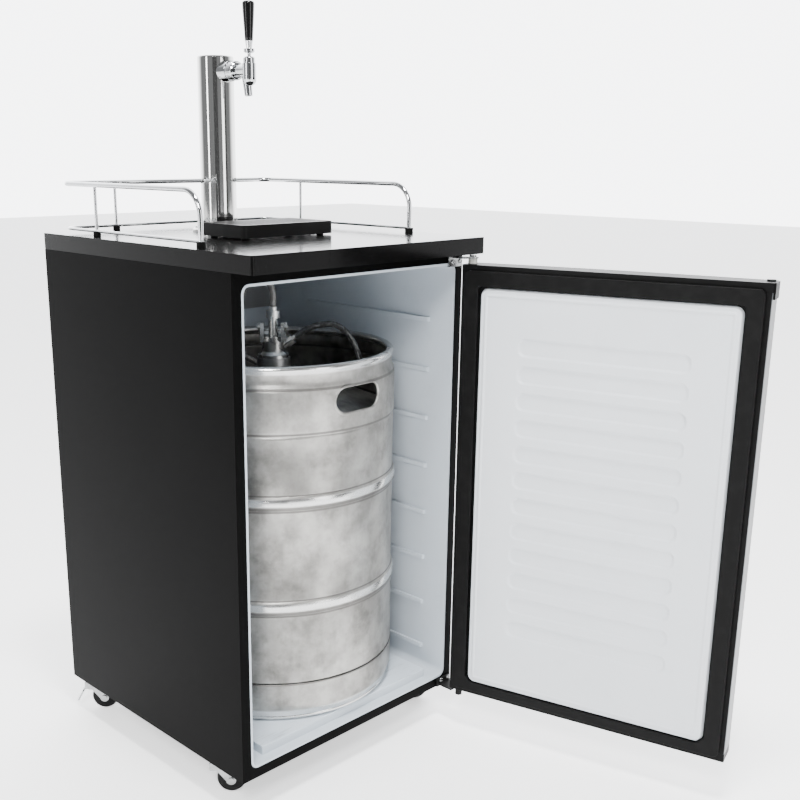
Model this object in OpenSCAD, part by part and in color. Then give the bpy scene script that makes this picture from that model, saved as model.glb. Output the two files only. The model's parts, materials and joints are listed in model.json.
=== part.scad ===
// Kegerator: an insulated cabinet on casters that holds one half-barrel keg, with a
// single-tap tower, a guard rail and a drip tray on its worktop.
// X is to the right, Y is to the back, Z is up. The origin is on the floor, under the
// middle of the cabinet. The door is drawn open; door_open = 0 shuts it.

/* [Cabinet] */
// Outside width of the cabinet body
cab_w = 486; // [480:1:640]
// Depth of the cabinet body, without the door
cab_d = 498; // [490:1:640]
// Height of the cabinet body, without the worktop
cab_h = 782; // [770:1:1000]
// Height of the body above the floor, on its casters
caster_h = 62; // [60:1:90]
// Thickness of the insulated side, top and bottom walls
wall_t = 21; // [14:0.1:26]
// Thickness of the insulated rear wall
rear_t = 40; // [32:1:42]
// Thickness of the steel skin
skin_t = 1; // [0.6:0.1:1.5]
// Thickness of the plastic liner
liner_t = 1.6; // [1:0.1:2.5]
// Corner radius of the front opening
opening_r = 10; // [4:1:30]
// Number of shelf ledges on each side wall
ledge_count = 8; // [3:1:8]

/* [Worktop] */
// Thickness of the worktop
top_t = 26.5; // [15:0.5:40]
// How far the worktop stands out over the door
top_front = 46; // [40:1:80]
// Height of the guard rail's upper tube above the worktop
rail_h = 80; // [60:1:120]
// Diameter of the guard rail's tube
rail_d = 8; // [6:0.5:12]
// Distance from the worktop's edges to the guard rail
rail_in = 27; // [20:1:40]

/* [Tap tower] */
// Outside diameter of the tower's column
tower_d = 60; // [60:0.5:80]
// Height of the tower above the worktop
tower_h = 283; // [275:1:400]
// Distance of the tower's axis behind the cabinet's middle
tower_y = 88; // [70:1:110]
// Height of the tap's axis above the worktop
tap_h = 258; // [230:1:260]
// Length of the tap's black handle
handle_l = 59; // [40:1:120]

/* [Door] */
// Thickness of the door, without its bulge and gasket
door_t = 40; // [34:1:50]
// How far the door's front bulges out
door_bulge = 8; // [2:1:15]
// How far the gasket stands out of the door
gasket_t = 7.7; // [6:0.1:12]
// Opening angle of the door as drawn, in degrees
door_open = 105; // [0:1:125]
// Number of ribs on the door's liner
rib_count = 12; // [4:1:12]

/* [Keg] */
// Outside diameter of the keg
keg_d = 411; // [300:1:411]
// Height of the keg
keg_h = 592; // [560:1:600]

/* [Casters] */
// Diameter of a caster wheel
wheel_d = 48; // [36:1:50]
// Width of a caster wheel
wheel_w = 18; // [14:1:22]

/* [Hidden] */
$fn = 64;
eps = 0.01;
run = 0.05;              // radial running clearance of a pin in its bore
gap = 0.3;               // clearance between faces that move past each other

// Cabinet
front_y = -cab_d / 2;
back_y = cab_d / 2;
body_z = caster_h;
body_top = body_z + cab_h;
top_z = body_top + top_t;
skin_x = cab_w / 2 - skin_t;
base_t = 2;
lip_w = 4;               // white edge of the liner around the opening
in_x = cab_w / 2 - wall_t;
in_back = back_y - rear_t;
in_z = body_z + wall_t;
in_top = body_top - wall_t;

// Keg, standing near the front on a raised floor
keg_r = keg_d / 2;
barrel_r = keg_r - 3;
keg_gap = 6;
keg_x = 8;
keg_y = front_y + 3.5 + keg_r;
platform_h = 12;
plate_t = 3;
keg_z = in_z + platform_h + plate_t;
plate_w = 380;
plate_y = front_y + 17;

// Compressor bay behind the keg's step
step_y = keg_y + keg_r + keg_gap;
bay_wall = 15;
bay_y = step_y + bay_wall;
bay_h = 190;
step_top = body_z + bay_h + bay_wall;
bay_out = 50;
tongue_w = 280;

// Shelf ledges
ledge_pitch = 86.5;
ledge_low = 60;          // lowest ledge above the body's underside
ledge_p = 4;
ledge_h = 8;
ledge_y = front_y + 54;

// Holes and fittings in the walls
line_hole_d = 44;
dial_z = body_top - 80;   // thermostat, between the ledges and the ceiling
gas_x = -196;
gas_z = 692;
barb_y = 190;
gas_hole_d = 14;
barb_d = 8;

// Door, drawn shut and then turned about its hinge axis
door_gap = 4;            // inset of the door's sides from the cabinet's
door_x = cab_w / 2 - door_gap;
door_y = front_y - gap - gasket_t;
door_front = door_y - door_t;
door_z = body_z + 10;
door_top = body_top - 16;
hinge_x = door_x - 7.5;
hinge_y = door_y - 24;
pin_d = 6;
bush_d = 12;
bush_l = 13;
cap_h = 14;
frame_t = 2;
margin = 35;             // black border around the door's white panel
foot_margin = 25;
panel_out = 5;           // how far the white panel stands out of the door's face
gasket_w = 24;
rib_pitch = 44.2;
rib_l = 270;
rib_h = 20;
rib_out = 1.4;
rib_top = 626;           // highest rib above the body's underside
step_rib = 702;
bulge_r = (pow(door_x, 2) + pow(door_bulge, 2)) / (2 * door_bulge);

// Guard rail
rail_x = cab_w / 2 - rail_in + 2;
rail_back = back_y - rail_in + 2;
rail_front = front_y + 98;
rail_bend = 38;
rail_corner = 22;
rod_d = 5;
rod_z = top_z + 8;
rail_z = top_z + rail_h;
post_y = 124;
post_x = 118;
foot_d = 14;

// Drip tray
tray_w = 190;
tray_d = 111;
tray_y = -39;
tray_h = 20;
tray_foot = 2;
tray_wall = 2;
tray_r = 8;

// Tap
tap_z = top_z + tap_h;
tower_t = 1.6;
flange_t = 6;
flange_d = 92;
shank_d = 22;
shank_bore = 8;
elbow_y = tower_y + 7;
elbow_l = 28.5;
collar_d = 36;
collar_y = tower_y - tower_d / 2 - 12;
nut_d = 30;
nut_l = 16;
shank_front = collar_y - 8;
nut_front = collar_y - nut_l;
barrel_d = 18;
shaft_d = 8;
body_d = 22;
spout_d = 13;
spout_bore = 9;
spout_tilt = 8;
seat_h = 9.5;
pivot_z = tap_z + 13.5;
ball_d = 10.4;
bonnet_d = 19;
bonnet_h = 10;
lever_max = 25;

// Coupler, in its own frame on the keg's axis, turned so its hose faces right and front
neck_top = keg_h - 21;
neck_d = 56;
coupler_turn = -45;
coupler_z = keg_z + neck_top;
coupler_d = 38;
lever_off = 18;          // the lever's pivot stands this far behind the probe
lever_half = 25;         // the lever swings this far either side of level
pivot_up = 54;
lever_drop = lever_off * tan(lever_half);
arm_t = 4;
arm_x = 20.3;
nipple_up = 35;

// Casters
caster_x = cab_w / 2 - 24;
caster_y = back_y - 30;
caster_front = front_y + 92;
caster_turn = -45;
trail = 20;
caster_plate_t = 2.5;
king_d = 8;
axle_d = 6;
leg_t = 2;
leg_x = wheel_w / 2 + 1;
pedal_pin_u = -11;
pedal_pin_z = caster_h - 16;

// Free hoses: outside diameters and routes
beer_d = 11;
gas_d = 10;
// The beer line's turn on the keg's top, seen from the coupler, and its rise up the tower
beer_coil = [[0, 0, 85], [0, 0, 95], [0, 0, 107], [-3, 3, 120], [-11, 11, 130], [-22, 22, 131],
    [-31, 31, 122], [-36, 37, 105], [-39, 41, 81], [-42, 45, 51], [-48, 50, 19], [-60, 52, -9],
    [-78, 46, -29], [-98, 28, -39], [-110, 0, -42], [-106, -32, -43], [-88, -64, -43],
    [-60, -90, -43], [-26, -106, -43], [12, -109, -43], [50, -100, -43], [82, -78, -43],
    [102, -48, -43], [111, -12, -43], [109, 26, -43], [96, 62, -42], [74, 90, -39], [46, 111, -29],
    [22, 122, -7], [6, 126, 23]];
beer_rise = [[5, 0, -146.5], [1, 0, -112.5], [0, 0, -76.5], [0, 0, -20.5], [0, 1, 39.5],
    [0, 3, 99.5], [0, 6, 159.5], [0, 7, 199.5]];
// The gas line's turn, seen from the nipple's end, and its way into the rear wall's fitting
gas_coil = [[0, 0, 0], [8, -8, 8], [19, -19, 16], [32, -32, 21], [45, -44, 21], [57, -55, 13],
    [66, -64, -1], [73, -71, -19], [79, -75, -41], [87, -73, -62], [98, -61, -79], [111, -36, -87],
    [120, -4, -90], [124, 30, -90], [121, 66, -90], [110, 100, -90], [91, 130, -90], [64, 156, -90],
    [30, 172, -89], [-6, 182, -86], [-42, 184, -79], [-72, 180, -63], [-94, 176, -39],
    [-112, 176, -15], [-130, 180, -1], [-150, 187, 3], [-174, 196, 1]];
gas_tail = [[32, -50, 7], [12, -38, 2], [2, -24, 0], [0, -12, 0], [0, 0, 0]];
laid_r = 202.5;          // barrel radius that the turns were laid on
function laid(line, from) = [for (p = line)
    from + [p[0] * barrel_r / laid_r, p[1] * barrel_r / laid_r, p[2]]];
function moved(line, from) = [for (p = line) from + p];
beer_route = concat(laid(beer_coil, [keg_x, keg_y, coupler_z]),
    moved(beer_rise, [0, tower_y, top_z]), [[0, elbow_y, tap_z - elbow_l]]);
gas_route = concat(laid(gas_coil, [keg_x + 26, keg_y - 26, coupler_z + nipple_up - 1]),
    moved(gas_tail, [gas_x, barb_y, gas_z]));

// ---------------------------------------------------------------- helpers
function catmull(a, b, c, d, t) = 0.5 * (2 * b + (c - a) * t
    + (2 * a - 5 * b + 4 * c - d) * t * t + (3 * b - a - 3 * c + d) * t * t * t);
function smooth(p, n) = [for (i = [0 : len(p) - 2]) for (k = [0 : n - 1])
    catmull(p[max(i - 1, 0)], p[i], p[i + 1], p[min(i + 2, len(p) - 1)], k / n),
    p[len(p) - 1]];
function unit(v) = v / norm(v);
function tangent(p, i) = unit(p[min(i + 1, len(p) - 1)] - p[max(i - 1, 0)]);
function side_of(v, t) = unit(v - (v * t) * t);

// A round hose swept along a list of points
module hose(route, d, sides) {
    p = smooth(route, 2);
    n = len(p);
    normals = [for (i = 0, v = side_of([1, 0, 0.1], tangent(p, 0)); i < n;
        i = i + 1, v = i < n ? side_of(v, tangent(p, i)) : v) v];
    rings = [for (i = [0 : n - 1], k = [0 : sides - 1])
        p[i] + d / 2 * (cos(360 * k / sides) * normals[i]
        + sin(360 * k / sides) * cross(tangent(p, i), normals[i]))];
    walls = [for (i = [0 : n - 2], k = [0 : sides - 1]) let (
        a = i * sides + k, b = i * sides + (k + 1) % sides) [a, a + sides, b]];
    walls2 = [for (i = [0 : n - 2], k = [0 : sides - 1]) let (
        a = i * sides + k, b = i * sides + (k + 1) % sides) [b, a + sides, b + sides]];
    first = [[for (k = [0 : sides - 1]) k]];
    last = [[for (k = [sides - 1 : -1 : 0]) (n - 1) * sides + k]];
    polyhedron(points = rings, faces = concat(walls, walls2, first, last));
}

module block(x0, x1, y0, y1, z0, z1)
    translate([x0, y0, z0]) cube([x1 - x0, y1 - y0, z1 - z0]);

module rounded(w, d, r) {
    square([w, d - 2 * r], center = true);
    square([w - 2 * r, d], center = true);
    for (x = [-1, 1], y = [-1, 1])
        translate([x * (w / 2 - r), y * (d / 2 - r)]) circle(r = r);
}

// A rounded window through the front wall, grown by g on every side
module window(g, y0, y1)
    translate([0, y1, (in_z + in_top) / 2]) rotate([90, 0, 0]) linear_extrude(y1 - y0)
        rounded(2 * (in_x + g), in_top - in_z + 2 * g, opening_r + g);

// A cylinder along Y from y0 to y1
module along_y(x, z, d, y0, y1, d2 = undef)
    translate([x, y0, z]) rotate([-90, 0, 0])
        cylinder(d1 = d, d2 = is_undef(d2) ? d : d2, h = y1 - y0);

// A cylinder along X from x0 to x1
module along_x(y, z, d, x0, x1)
    translate([x0, y, z]) rotate([0, 90, 0]) cylinder(d = d, h = x1 - x0);

module on_door() translate([hinge_x, hinge_y, 0]) rotate([0, 0, door_open])
    translate([-hinge_x, -hinge_y, 0]) children();

module on_keg() translate([keg_x, keg_y, keg_z]) children();

module on_coupler() translate([keg_x, keg_y, coupler_z]) rotate([0, 0, coupler_turn])
    children();

module on_caster(x, y)
    translate([x * caster_x, y > 0 ? caster_y : caster_front, 0]) children();

// ---------------------------------------------------------------- cabinet
module outer_shell() color("#101012") difference() {
    block(-cab_w / 2, cab_w / 2, front_y, back_y, body_z, body_top);
    block(-skin_x, skin_x, front_y + skin_t, back_y + 1, body_z - 1, body_top - skin_t);
    window(lip_w, front_y - 1, front_y + skin_t + 1);
    translate([0, tower_y, body_top - 5]) cylinder(d = line_hole_d, h = 10);
}

module rear_panel() color("#1b1b1d") difference() {
    union() {
        block(-skin_x, skin_x, back_y - skin_t, back_y, body_z + bay_h, body_top - skin_t);
        block(-skin_x, skin_x, bay_y, back_y - skin_t, body_z + bay_h,
            body_z + bay_h + skin_t);
        block(-skin_x, skin_x, bay_y - skin_t, bay_y, body_z + base_t,
            body_z + bay_h + skin_t);
    }
    along_y(gas_x, gas_z, gas_hole_d, back_y - 5, back_y + 5);
}

module base_pan() color("#1b1b1d") union() {
    block(-skin_x, skin_x, front_y + skin_t, back_y, body_z, body_z + base_t);
    block(-tongue_w / 2, tongue_w / 2, back_y - 1, back_y + bay_out, body_z,
        body_z + base_t);
}

module liner_volume(g) difference() {
    window(g, front_y - (g > 0 ? 0 : 1), in_back + g);
    block(-in_x - 5, in_x + 5, step_y + g, in_back + 5, in_z - 5, step_top - g);
}

module ledge(side, z) translate([side * in_x, 0, z]) {
    translate([side > 0 ? -ledge_p : -0.5, ledge_y, -ledge_h / 2])
        cube([ledge_p + 0.5, keg_y + 150 - ledge_y, ledge_h]);
    translate([0, ledge_y, -ledge_h / 2]) difference() {
        cylinder(r = ledge_p, h = ledge_h);
        translate([side > 0 ? 0.5 : -10.5, -5, -1]) cube([10, 10, ledge_h + 2]);
    }
}

module inner_liner() color("#eef1f3") difference() {
    union() {
        difference() {
            union() {
                liner_volume(liner_t);
                window(lip_w, front_y, front_y + skin_t);
            }
            liner_volume(0);
        }
        block(-plate_w / 2, plate_w / 2, plate_y, step_y + 0.5, in_z - 0.5,
            in_z + platform_h);
        for (i = [0 : ledge_count - 1], side = [-1, 1])
            ledge(side, body_z + ledge_low + i * ledge_pitch);
    }
    translate([0, tower_y, in_top - 5]) cylinder(d = line_hole_d, h = 10);
    along_y(gas_x, gas_z, gas_hole_d, in_back - 5, in_back + 5);
}

module cabinet_foam() color("#d9cfa0") difference() {
    block(-skin_x, skin_x, front_y + skin_t, back_y - skin_t, body_z + base_t,
        body_top - skin_t);
    liner_volume(liner_t);
    window(liner_t, front_y - 1, front_y + 5);
    block(-cab_w, cab_w, bay_y - skin_t, back_y + 1, body_z, body_z + bay_h + skin_t);
    translate([0, tower_y, in_top - 5]) cylinder(d = line_hole_d, h = wall_t + 10);
    along_y(gas_x, gas_z, gas_hole_d, in_back - 5, back_y + 5);
}

module worktop() color("#141416") difference() {
    translate([0, (1 - top_front) / 2, body_top]) linear_extrude(top_t)
        rounded(cab_w + 3, cab_d + top_front + 1, 6);
    translate([0, tower_y, body_top - 1]) cylinder(d = line_hole_d, h = top_t + 2);
    tower_screw_places() cylinder(d = 4, h = 18);
}

module keg_floor_plate() color("#dfe3e6")
    block(-plate_w / 2, plate_w / 2, plate_y, step_y, in_z + platform_h, keg_z);

// Cooling plate on the rear wall, stood off on four pads
module evaporator_plate() color("#b9c0c4") union() {
    block(-in_x + 10, in_x - 10, in_back - 8, in_back - 6, in_top - 112, in_top - 6);
    for (x = [-1, 1], z = [in_top - 92, in_top - 30])
        along_y(x * (in_x - 30), z, 12, in_back - 6, in_back);
}

module thermostat_housing() color("#e6e8ea") difference() {
    block(-in_x, -in_x + 26, front_y + 60, front_y + 130, dial_z - 29, dial_z + 29);
    along_x(front_y + 95, dial_z, 8 + 2 * run, -in_x + 10, -in_x + 30);
}

module thermostat_knob() color("#d5d8da") translate([-in_x + 26, front_y + 95, dial_z])
    union() {
        along_x(0, 0, 8, -14, 3);
        along_x(0, 0, 34, gap, 10);
        block(gap, 14, -3, 3, -16, 16);
    }

// Wire-on-tube condenser behind the rear panel
cond_half = 181;
cond_z0 = body_z + bay_h + 45;
cond_runs = 9;
cond_pitch = (body_top - 60 - cond_z0) / (cond_runs - 1);
cond_tube = 5;
cond_x = cond_half - cond_pitch / 2 - cond_tube / 2;
cond_wire = 2;
cond_y = back_y + 22;
cond_wires = 15;
cond_weld = 0.2;
cond_lap = 0.4;          // the return bends are brazed on over the tubes' ends
wire_x = cond_x - 8;

module condenser_coil() color("#1a1a1a") {
    for (i = [0 : cond_runs - 1])
        along_x(cond_y, cond_z0 + i * cond_pitch, cond_tube, -cond_x - cond_lap,
            cond_x + cond_lap);
    for (i = [0 : cond_runs - 2]) let (side = i % 2 == 0 ? 1 : -1)
        translate([side * cond_x, cond_y, cond_z0 + (i + 0.5) * cond_pitch])
            rotate([90, 0, side * 90 - 90]) rotate([0, 0, -90])
            rotate_extrude(angle = 180) translate([cond_pitch / 2, 0])
            circle(d = cond_tube + 2 * cond_lap);
    for (i = [0 : cond_wires - 1])
        translate([-wire_x + i * 2 * wire_x / (cond_wires - 1),
            cond_y + (cond_tube + cond_wire) / 2 + cond_weld, cond_z0 - 15])
            cylinder(d = cond_wire, h = (cond_runs - 1) * cond_pitch + 30);
    for (x = [-1, 1], z = [1.5, cond_runs - 2.5])
        translate([x * 130, 0, cond_z0 + z * cond_pitch]) {
            block(-6, 6, back_y, back_y + 2, -cond_pitch / 2 - 8, cond_pitch / 2 + 8);
            for (k = [-1, 1]) translate([0, 0, k * cond_pitch / 2]) difference() {
                block(-6, 6, back_y + 2, cond_y - 1, -4.5, 4.5);
                along_x(cond_y, 0, cond_tube - 1, -7, 7);
            }
        }
}

comp_d = 96;
comp_y = bay_y + 4 + comp_d / 2;
comp_z = body_z + base_t;

module compressor() color("#111111") {
    for (x = [-1, 1], y = [-1, 1]) translate([x * 66, comp_y + y * 34, comp_z])
        cylinder(d = 16, h = 12);
    translate([0, comp_y, comp_z + 12]) union() {
        translate([0, 0, 1.5]) cube([156, 92, 3], center = true);
        rotate_extrude() polygon(concat([[0, 3], [comp_d / 2 - 12, 3]],
            [for (a = [-90 : 15 : 0]) [comp_d / 2 - 10 + 10 * cos(a), 14 + 10 * sin(a)]],
            [for (a = [0 : 9 : 90]) [comp_d / 2 * cos(a), 62 + 44 * sin(a)]]));
        translate([0, 0, 58]) cylinder(d = comp_d + 6, h = 4);
        translate([comp_d / 2 - 6, -16, 26]) cube([26, 32, 34]);
        translate([-comp_d / 2 - 12, 14, 40]) rotate([0, 90, 0]) cylinder(d = 7, h = 30);
        translate([-comp_d / 2 - 12, -14, 40]) rotate([0, 90, 0]) cylinder(d = 9, h = 30);
    }
}

module power_inlet() color("#161616") difference() {
    union() {
        block(96, 138, back_y + 20, back_y + 22, comp_z, comp_z + 70);
        block(102, 132, back_y - 4, back_y + 20, comp_z + 30, comp_z + 56);
        block(100, 134, back_y + 22, back_y + 25, comp_z + 28, comp_z + 58);
    }
    block(105, 129, back_y + 3, back_y + 30, comp_z + 34, comp_z + 52);
}

module gas_bulkhead() color("#c9a24a") difference() {
    union() {
        along_y(gas_x, gas_z, gas_hole_d, in_back, back_y);
        along_y(gas_x, gas_z, 22, in_back - 6, in_back);
        along_y(gas_x, gas_z, 22, back_y, back_y + 6);
        along_y(gas_x, gas_z, barb_d, back_y + 6, back_y + 26);
        along_y(gas_x, gas_z, barb_d, barb_y, in_back - 6);
    }
    along_y(gas_x, gas_z, 4, barb_y - 5, back_y + 30);
}

// ---------------------------------------------------------------- hinges
hinge_t = 3;
upper_z = door_top + 8;
lower_z = body_z + 3;

module hinge_arm(z) {
    translate([hinge_x, hinge_y, z]) cylinder(d = 20, h = hinge_t);
    block(hinge_x - 22, hinge_x + 8, hinge_y, front_y, z, z + hinge_t);
}

module upper_hinge() color("#c8ccd0") difference() {
    union() {
        hinge_arm(upper_z);
        block(hinge_x - 26, hinge_x + 8, front_y - hinge_t, front_y, door_top - 7,
            upper_z + hinge_t);
        translate([hinge_x, hinge_y, door_top - bush_l + 2])
            cylinder(d = pin_d, h = upper_z - door_top + bush_l - 2 + hinge_t + 2);
        translate([hinge_x, hinge_y, upper_z + hinge_t]) cylinder(d = 12, h = 2.5);
    }
    for (x = [-18, 0]) along_y(hinge_x + x, door_top + 1, 4, front_y - 5, front_y + 1);
}

module lower_hinge() color("#1c1c1e") difference() {
    union() {
        hinge_arm(lower_z);
        block(hinge_x - 26, hinge_x + 8, front_y - hinge_t, front_y, body_z + 0.5,
            door_z + 6);
        translate([hinge_x, hinge_y, lower_z])
            cylinder(d = pin_d, h = door_z - lower_z + bush_l - 2);
        translate([hinge_x, hinge_y, lower_z - 14]) cylinder(d = 12, h = 14);
    }
    for (x = [-18, 0]) along_y(hinge_x + x, body_z + 11, 4, front_y - 5, front_y + 1);
}

module tower_screw_places() for (a = [45 : 90 : 315])
    translate([0, tower_y, top_z - 15]) rotate([0, 0, a]) translate([38, 0, 0]) children();

// Machine screws: two in each hinge bracket and four in the tower's flange
module screws() color("#b8bcc0") {
    for (x = [-18, 0], z = [door_top + 1, body_z + 11]) {
        along_y(hinge_x + x, z, 4, front_y - hinge_t, front_y);
        along_y(hinge_x + x, z, 7.5, front_y - hinge_t - 2.2, front_y - hinge_t);
    }
    tower_screw_places() {
        cylinder(d = 4, h = 15 + flange_t);
        translate([0, 0, 15 + flange_t]) cylinder(d = 8, h = 2.5);
    }
}

// ---------------------------------------------------------------- guard rail
module rail_side(s) {
    translate([s * rail_x, 0, 0]) {
        translate([0, rail_front, top_z + 4]) cylinder(d = rail_d, h = rail_h - 4 - rail_bend);
        translate([0, rail_front + rail_bend, rail_z - rail_bend]) rotate([90, 0, 90])
            rotate([0, 0, 90]) rotate_extrude(angle = 90) translate([rail_bend, 0])
            circle(d = rail_d);
        along_y(0, rail_z, rail_d, rail_front + rail_bend, rail_back - rail_corner);
        along_y(0, rod_z, rod_d, rail_front, rail_back - rail_corner);
        translate([0, post_y, rod_z]) cylinder(d = rod_d, h = rail_z - rod_z);
    }
    for (p = [[rail_z, rail_d], [rod_z, rod_d]])
        translate([s * (rail_x - rail_corner), rail_back - rail_corner, p[0]])
            rotate([0, 0, s > 0 ? 0 : 90]) rotate_extrude(angle = 90)
            translate([rail_corner, 0]) circle(d = p[1]);
    translate([s * post_x, rail_back, rod_z]) cylinder(d = rod_d, h = rail_z - rod_z);
}

module guard_rail() color("#d7dadd") union() {
    for (s = [-1, 1]) rail_side(s);
    along_x(rail_back, rail_z, rail_d, rail_corner - rail_x, rail_x - rail_corner);
    along_x(rail_back, rod_z, rod_d, rail_corner - rail_x, rail_x - rail_corner);
}

// Rubber feet: cups under the two front legs, pads under the lower rod
module rail_feet() color("#151515") {
    for (s = [-1, 1]) difference() {
        translate([s * rail_x, rail_front, top_z]) cylinder(d = foot_d, h = 8);
        translate([s * rail_x, rail_front, top_z + 4]) cylinder(d = rail_d, h = 8);
        along_y(s * rail_x, rod_z, rod_d, rail_front, rail_front + 20);
    }
    for (p = [[-rail_x, post_y], [rail_x, post_y], [-post_x, rail_back], [post_x, rail_back]])
        difference() {
            translate([p[0], p[1], top_z]) cylinder(d = foot_d - 2, h = 8);
            if (abs(p[0]) == post_x) along_x(p[1], rod_z, rod_d, p[0] - 10, p[0] + 10);
            else along_y(p[0], rod_z, rod_d, p[1] - 10, p[1] + 10);
        }
}

// ---------------------------------------------------------------- drip tray
grid_t = 2;
grid_bars = 15;

module drip_tray() color("#0c0c0d") union() {
    difference() {
        translate([0, tray_y, top_z + tray_foot + gap]) linear_extrude(tray_h)
            rounded(tray_w, tray_d, tray_r);
        translate([0, tray_y, top_z + tray_foot + gap + tray_wall]) linear_extrude(tray_h)
            rounded(tray_w - 2 * tray_wall - 4, tray_d - 2 * tray_wall - 4, tray_r - 4);
        translate([0, tray_y, top_z + tray_foot + gap + tray_h - grid_t - 0.6])
            linear_extrude(5) rounded(tray_w - 2 * tray_wall, tray_d - 2 * tray_wall,
                tray_r - tray_wall);
    }
    for (x = [-1, 1], y = [-1, 1])
        translate([x * (tray_w / 2 - 16), tray_y + y * (tray_d / 2 - 16), top_z])
            cylinder(d = 12, h = tray_foot + gap);
}

module drip_grid() color("#161617")
    translate([0, tray_y, top_z + tray_foot + gap + tray_h - grid_t - 0.3])
    linear_extrude(grid_t) difference() {
        rounded(tray_w - 2 * tray_wall - 2 * gap, tray_d - 2 * tray_wall - 2 * gap,
            tray_r - tray_wall - gap);
        for (i = [0 : grid_bars - 1])
            translate([-tray_w / 2 + 17 + i * (tray_w - 34) / (grid_bars - 1), 0])
                square([5.5, tray_d - 26], center = true);
    }

// ---------------------------------------------------------------- tower and tap
module tower_column() color("#c9cdd0") translate([0, tower_y, top_z + flange_t]) difference() {
    cylinder(d = tower_d, h = tower_h - flange_t - 5);
    translate([0, 0, -1]) cylinder(d = tower_d - 2 * tower_t, h = tower_h);
    translate([0, 0, tap_h - flange_t]) rotate([90, 0, 0]) cylinder(d = shank_d, h = tower_d);
}

module tower_cap() color("#c9cdd0") translate([0, tower_y, top_z + tower_h - 5]) union() {
    rotate_extrude() polygon(concat([[0, 0], [tower_d / 2, 0], [tower_d / 2, 2]],
        [for (a = [0 : 15 : 90]) [tower_d / 2 - 3 + 3 * cos(a), 2 + 3 * sin(a)]], [[0, 5]]));
    translate([0, 0, -3]) cylinder(d = tower_d - 2 * tower_t, h = 3);
}

module tower_flange() color("#c9cdd0") difference() {
    translate([0, tower_y, top_z]) union() {
        cylinder(d = flange_d, h = flange_t - 2);
        translate([0, 0, flange_t - 2]) cylinder(d1 = flange_d, d2 = flange_d - 5, h = 2);
        cylinder(d = tower_d - 2 * tower_t, h = flange_t + 9);
    }
    translate([0, tower_y, top_z - 1]) cylinder(d = line_hole_d, h = 30);
    tower_screw_places() cylinder(d = 4, h = 30);
}

module faucet_shank() color("#c2c6ca") difference() {
    union() {
        along_y(0, tap_z, shank_d, shank_front, tower_y + 14);
        translate([0, elbow_y, tap_z - elbow_l]) cylinder(d = 9, h = elbow_l);
    }
    along_y(0, tap_z, shank_bore, shank_front - 1, elbow_y);
    translate([0, elbow_y, tap_z - 30]) cylinder(d = 5, h = 30);
}

// Outer collar seated on the column, and the nut inside it
module shank_clamp() color("#d2d6d9") {
    difference() {
        along_y(0, tap_z, collar_d - 4, collar_y, tower_y - 10, collar_d + 2);
        translate([0, tower_y, tap_z - 50]) cylinder(d = tower_d, h = 100);
        along_y(0, tap_z, shank_d, 0, tower_y);
    }
    intersection() {
        difference() {
            translate([0, tower_y - 12, tap_z]) rotate([90, 0, 0]) cylinder(d = 30, h = 12, $fn = 6);
            along_y(0, tap_z, shank_d, 0, tower_y);
        }
        translate([0, tower_y, tap_z - 50]) cylinder(d = tower_d - 2 * tower_t, h = 100);
    }
}

module coupling_nut() color("#d2d6d9") difference() {
    union() {
        along_y(0, tap_z, nut_d, nut_front + 2, collar_y);
        along_y(0, tap_z, nut_d - 6, nut_front, nut_front + 2, nut_d);
    }
    along_y(0, tap_z, shank_d, shank_front - 1, collar_y + 1);
    along_y(0, tap_z, shank_d, nut_front + 3, shank_front);
    along_y(0, tap_z, barrel_d, nut_front - 1, nut_front + 4);
}

module faucet_body() color("#d2d6d9") difference() {
    union() {
        along_y(0, tap_z, barrel_d, 0, nut_front + 3);
        along_y(0, tap_z, shank_d, nut_front + 3, shank_front);
        translate([0, 0, tap_z - 14]) cylinder(d = body_d, h = 14 + seat_h);
        translate([0, 0, tap_z - 14]) sphere(d = body_d);
        translate([0, 7, tap_z - 10]) rotate([180 - spout_tilt, 0, 0])
            cylinder(d1 = spout_d + 3, d2 = spout_d, h = 30);
    }
    along_y(0, tap_z, shaft_d + 2 * run, -9.5, 9);
    along_y(0, tap_z, 12, 8, shank_front + 1);
    block(-3.2, 3.2, -4, 10.5, tap_z - 6, tap_z + seat_h + 1);
    translate([0, 0, pivot_z]) sphere(d = ball_d + 2 * gap);
    translate([0, 7, tap_z - 10]) rotate([180 - spout_tilt, 0, 0])
        translate([0, 0, -6]) cylinder(d = spout_bore, h = 40);
    along_y(0, tap_z - 14, 3, -14, 7);
}

module faucet_bonnet() color("#d2d6d9") translate([0, 0, tap_z + seat_h]) difference() {
    union() {
        cylinder(d = bonnet_d, h = bonnet_h - 2);
        translate([0, 0, bonnet_h - 2]) cylinder(d1 = bonnet_d, d2 = bonnet_d - 3, h = 2);
    }
    translate([0, 0, pivot_z - tap_z - seat_h]) sphere(d = ball_d + 2 * run);
    translate([0, 0, -1]) cylinder(d = ball_d + 2 * run, h = pivot_z - tap_z - seat_h + 1);
    translate([0, 0, pivot_z - tap_z - seat_h]) cylinder(d1 = 6, d2 = 15, h = 7);
}

module faucet_lever() color("#d2d6d9") translate([0, 0, pivot_z]) union() {
    sphere(d = ball_d);
    translate([0, 0, -17]) cylinder(d = 4.4, h = 17);
    cylinder(d = 6, h = 19);
    translate([0, 0, 11.5]) cylinder(d1 = 12, d2 = 18, h = 2);
    translate([0, 0, 13.5]) cylinder(d = 18, h = 4.5);
    translate([0, 0, 18]) cylinder(d1 = 9, d2 = 13.2, h = 12);
    translate([0, 0, 30]) cylinder(d = 6, h = 20);
}

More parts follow.
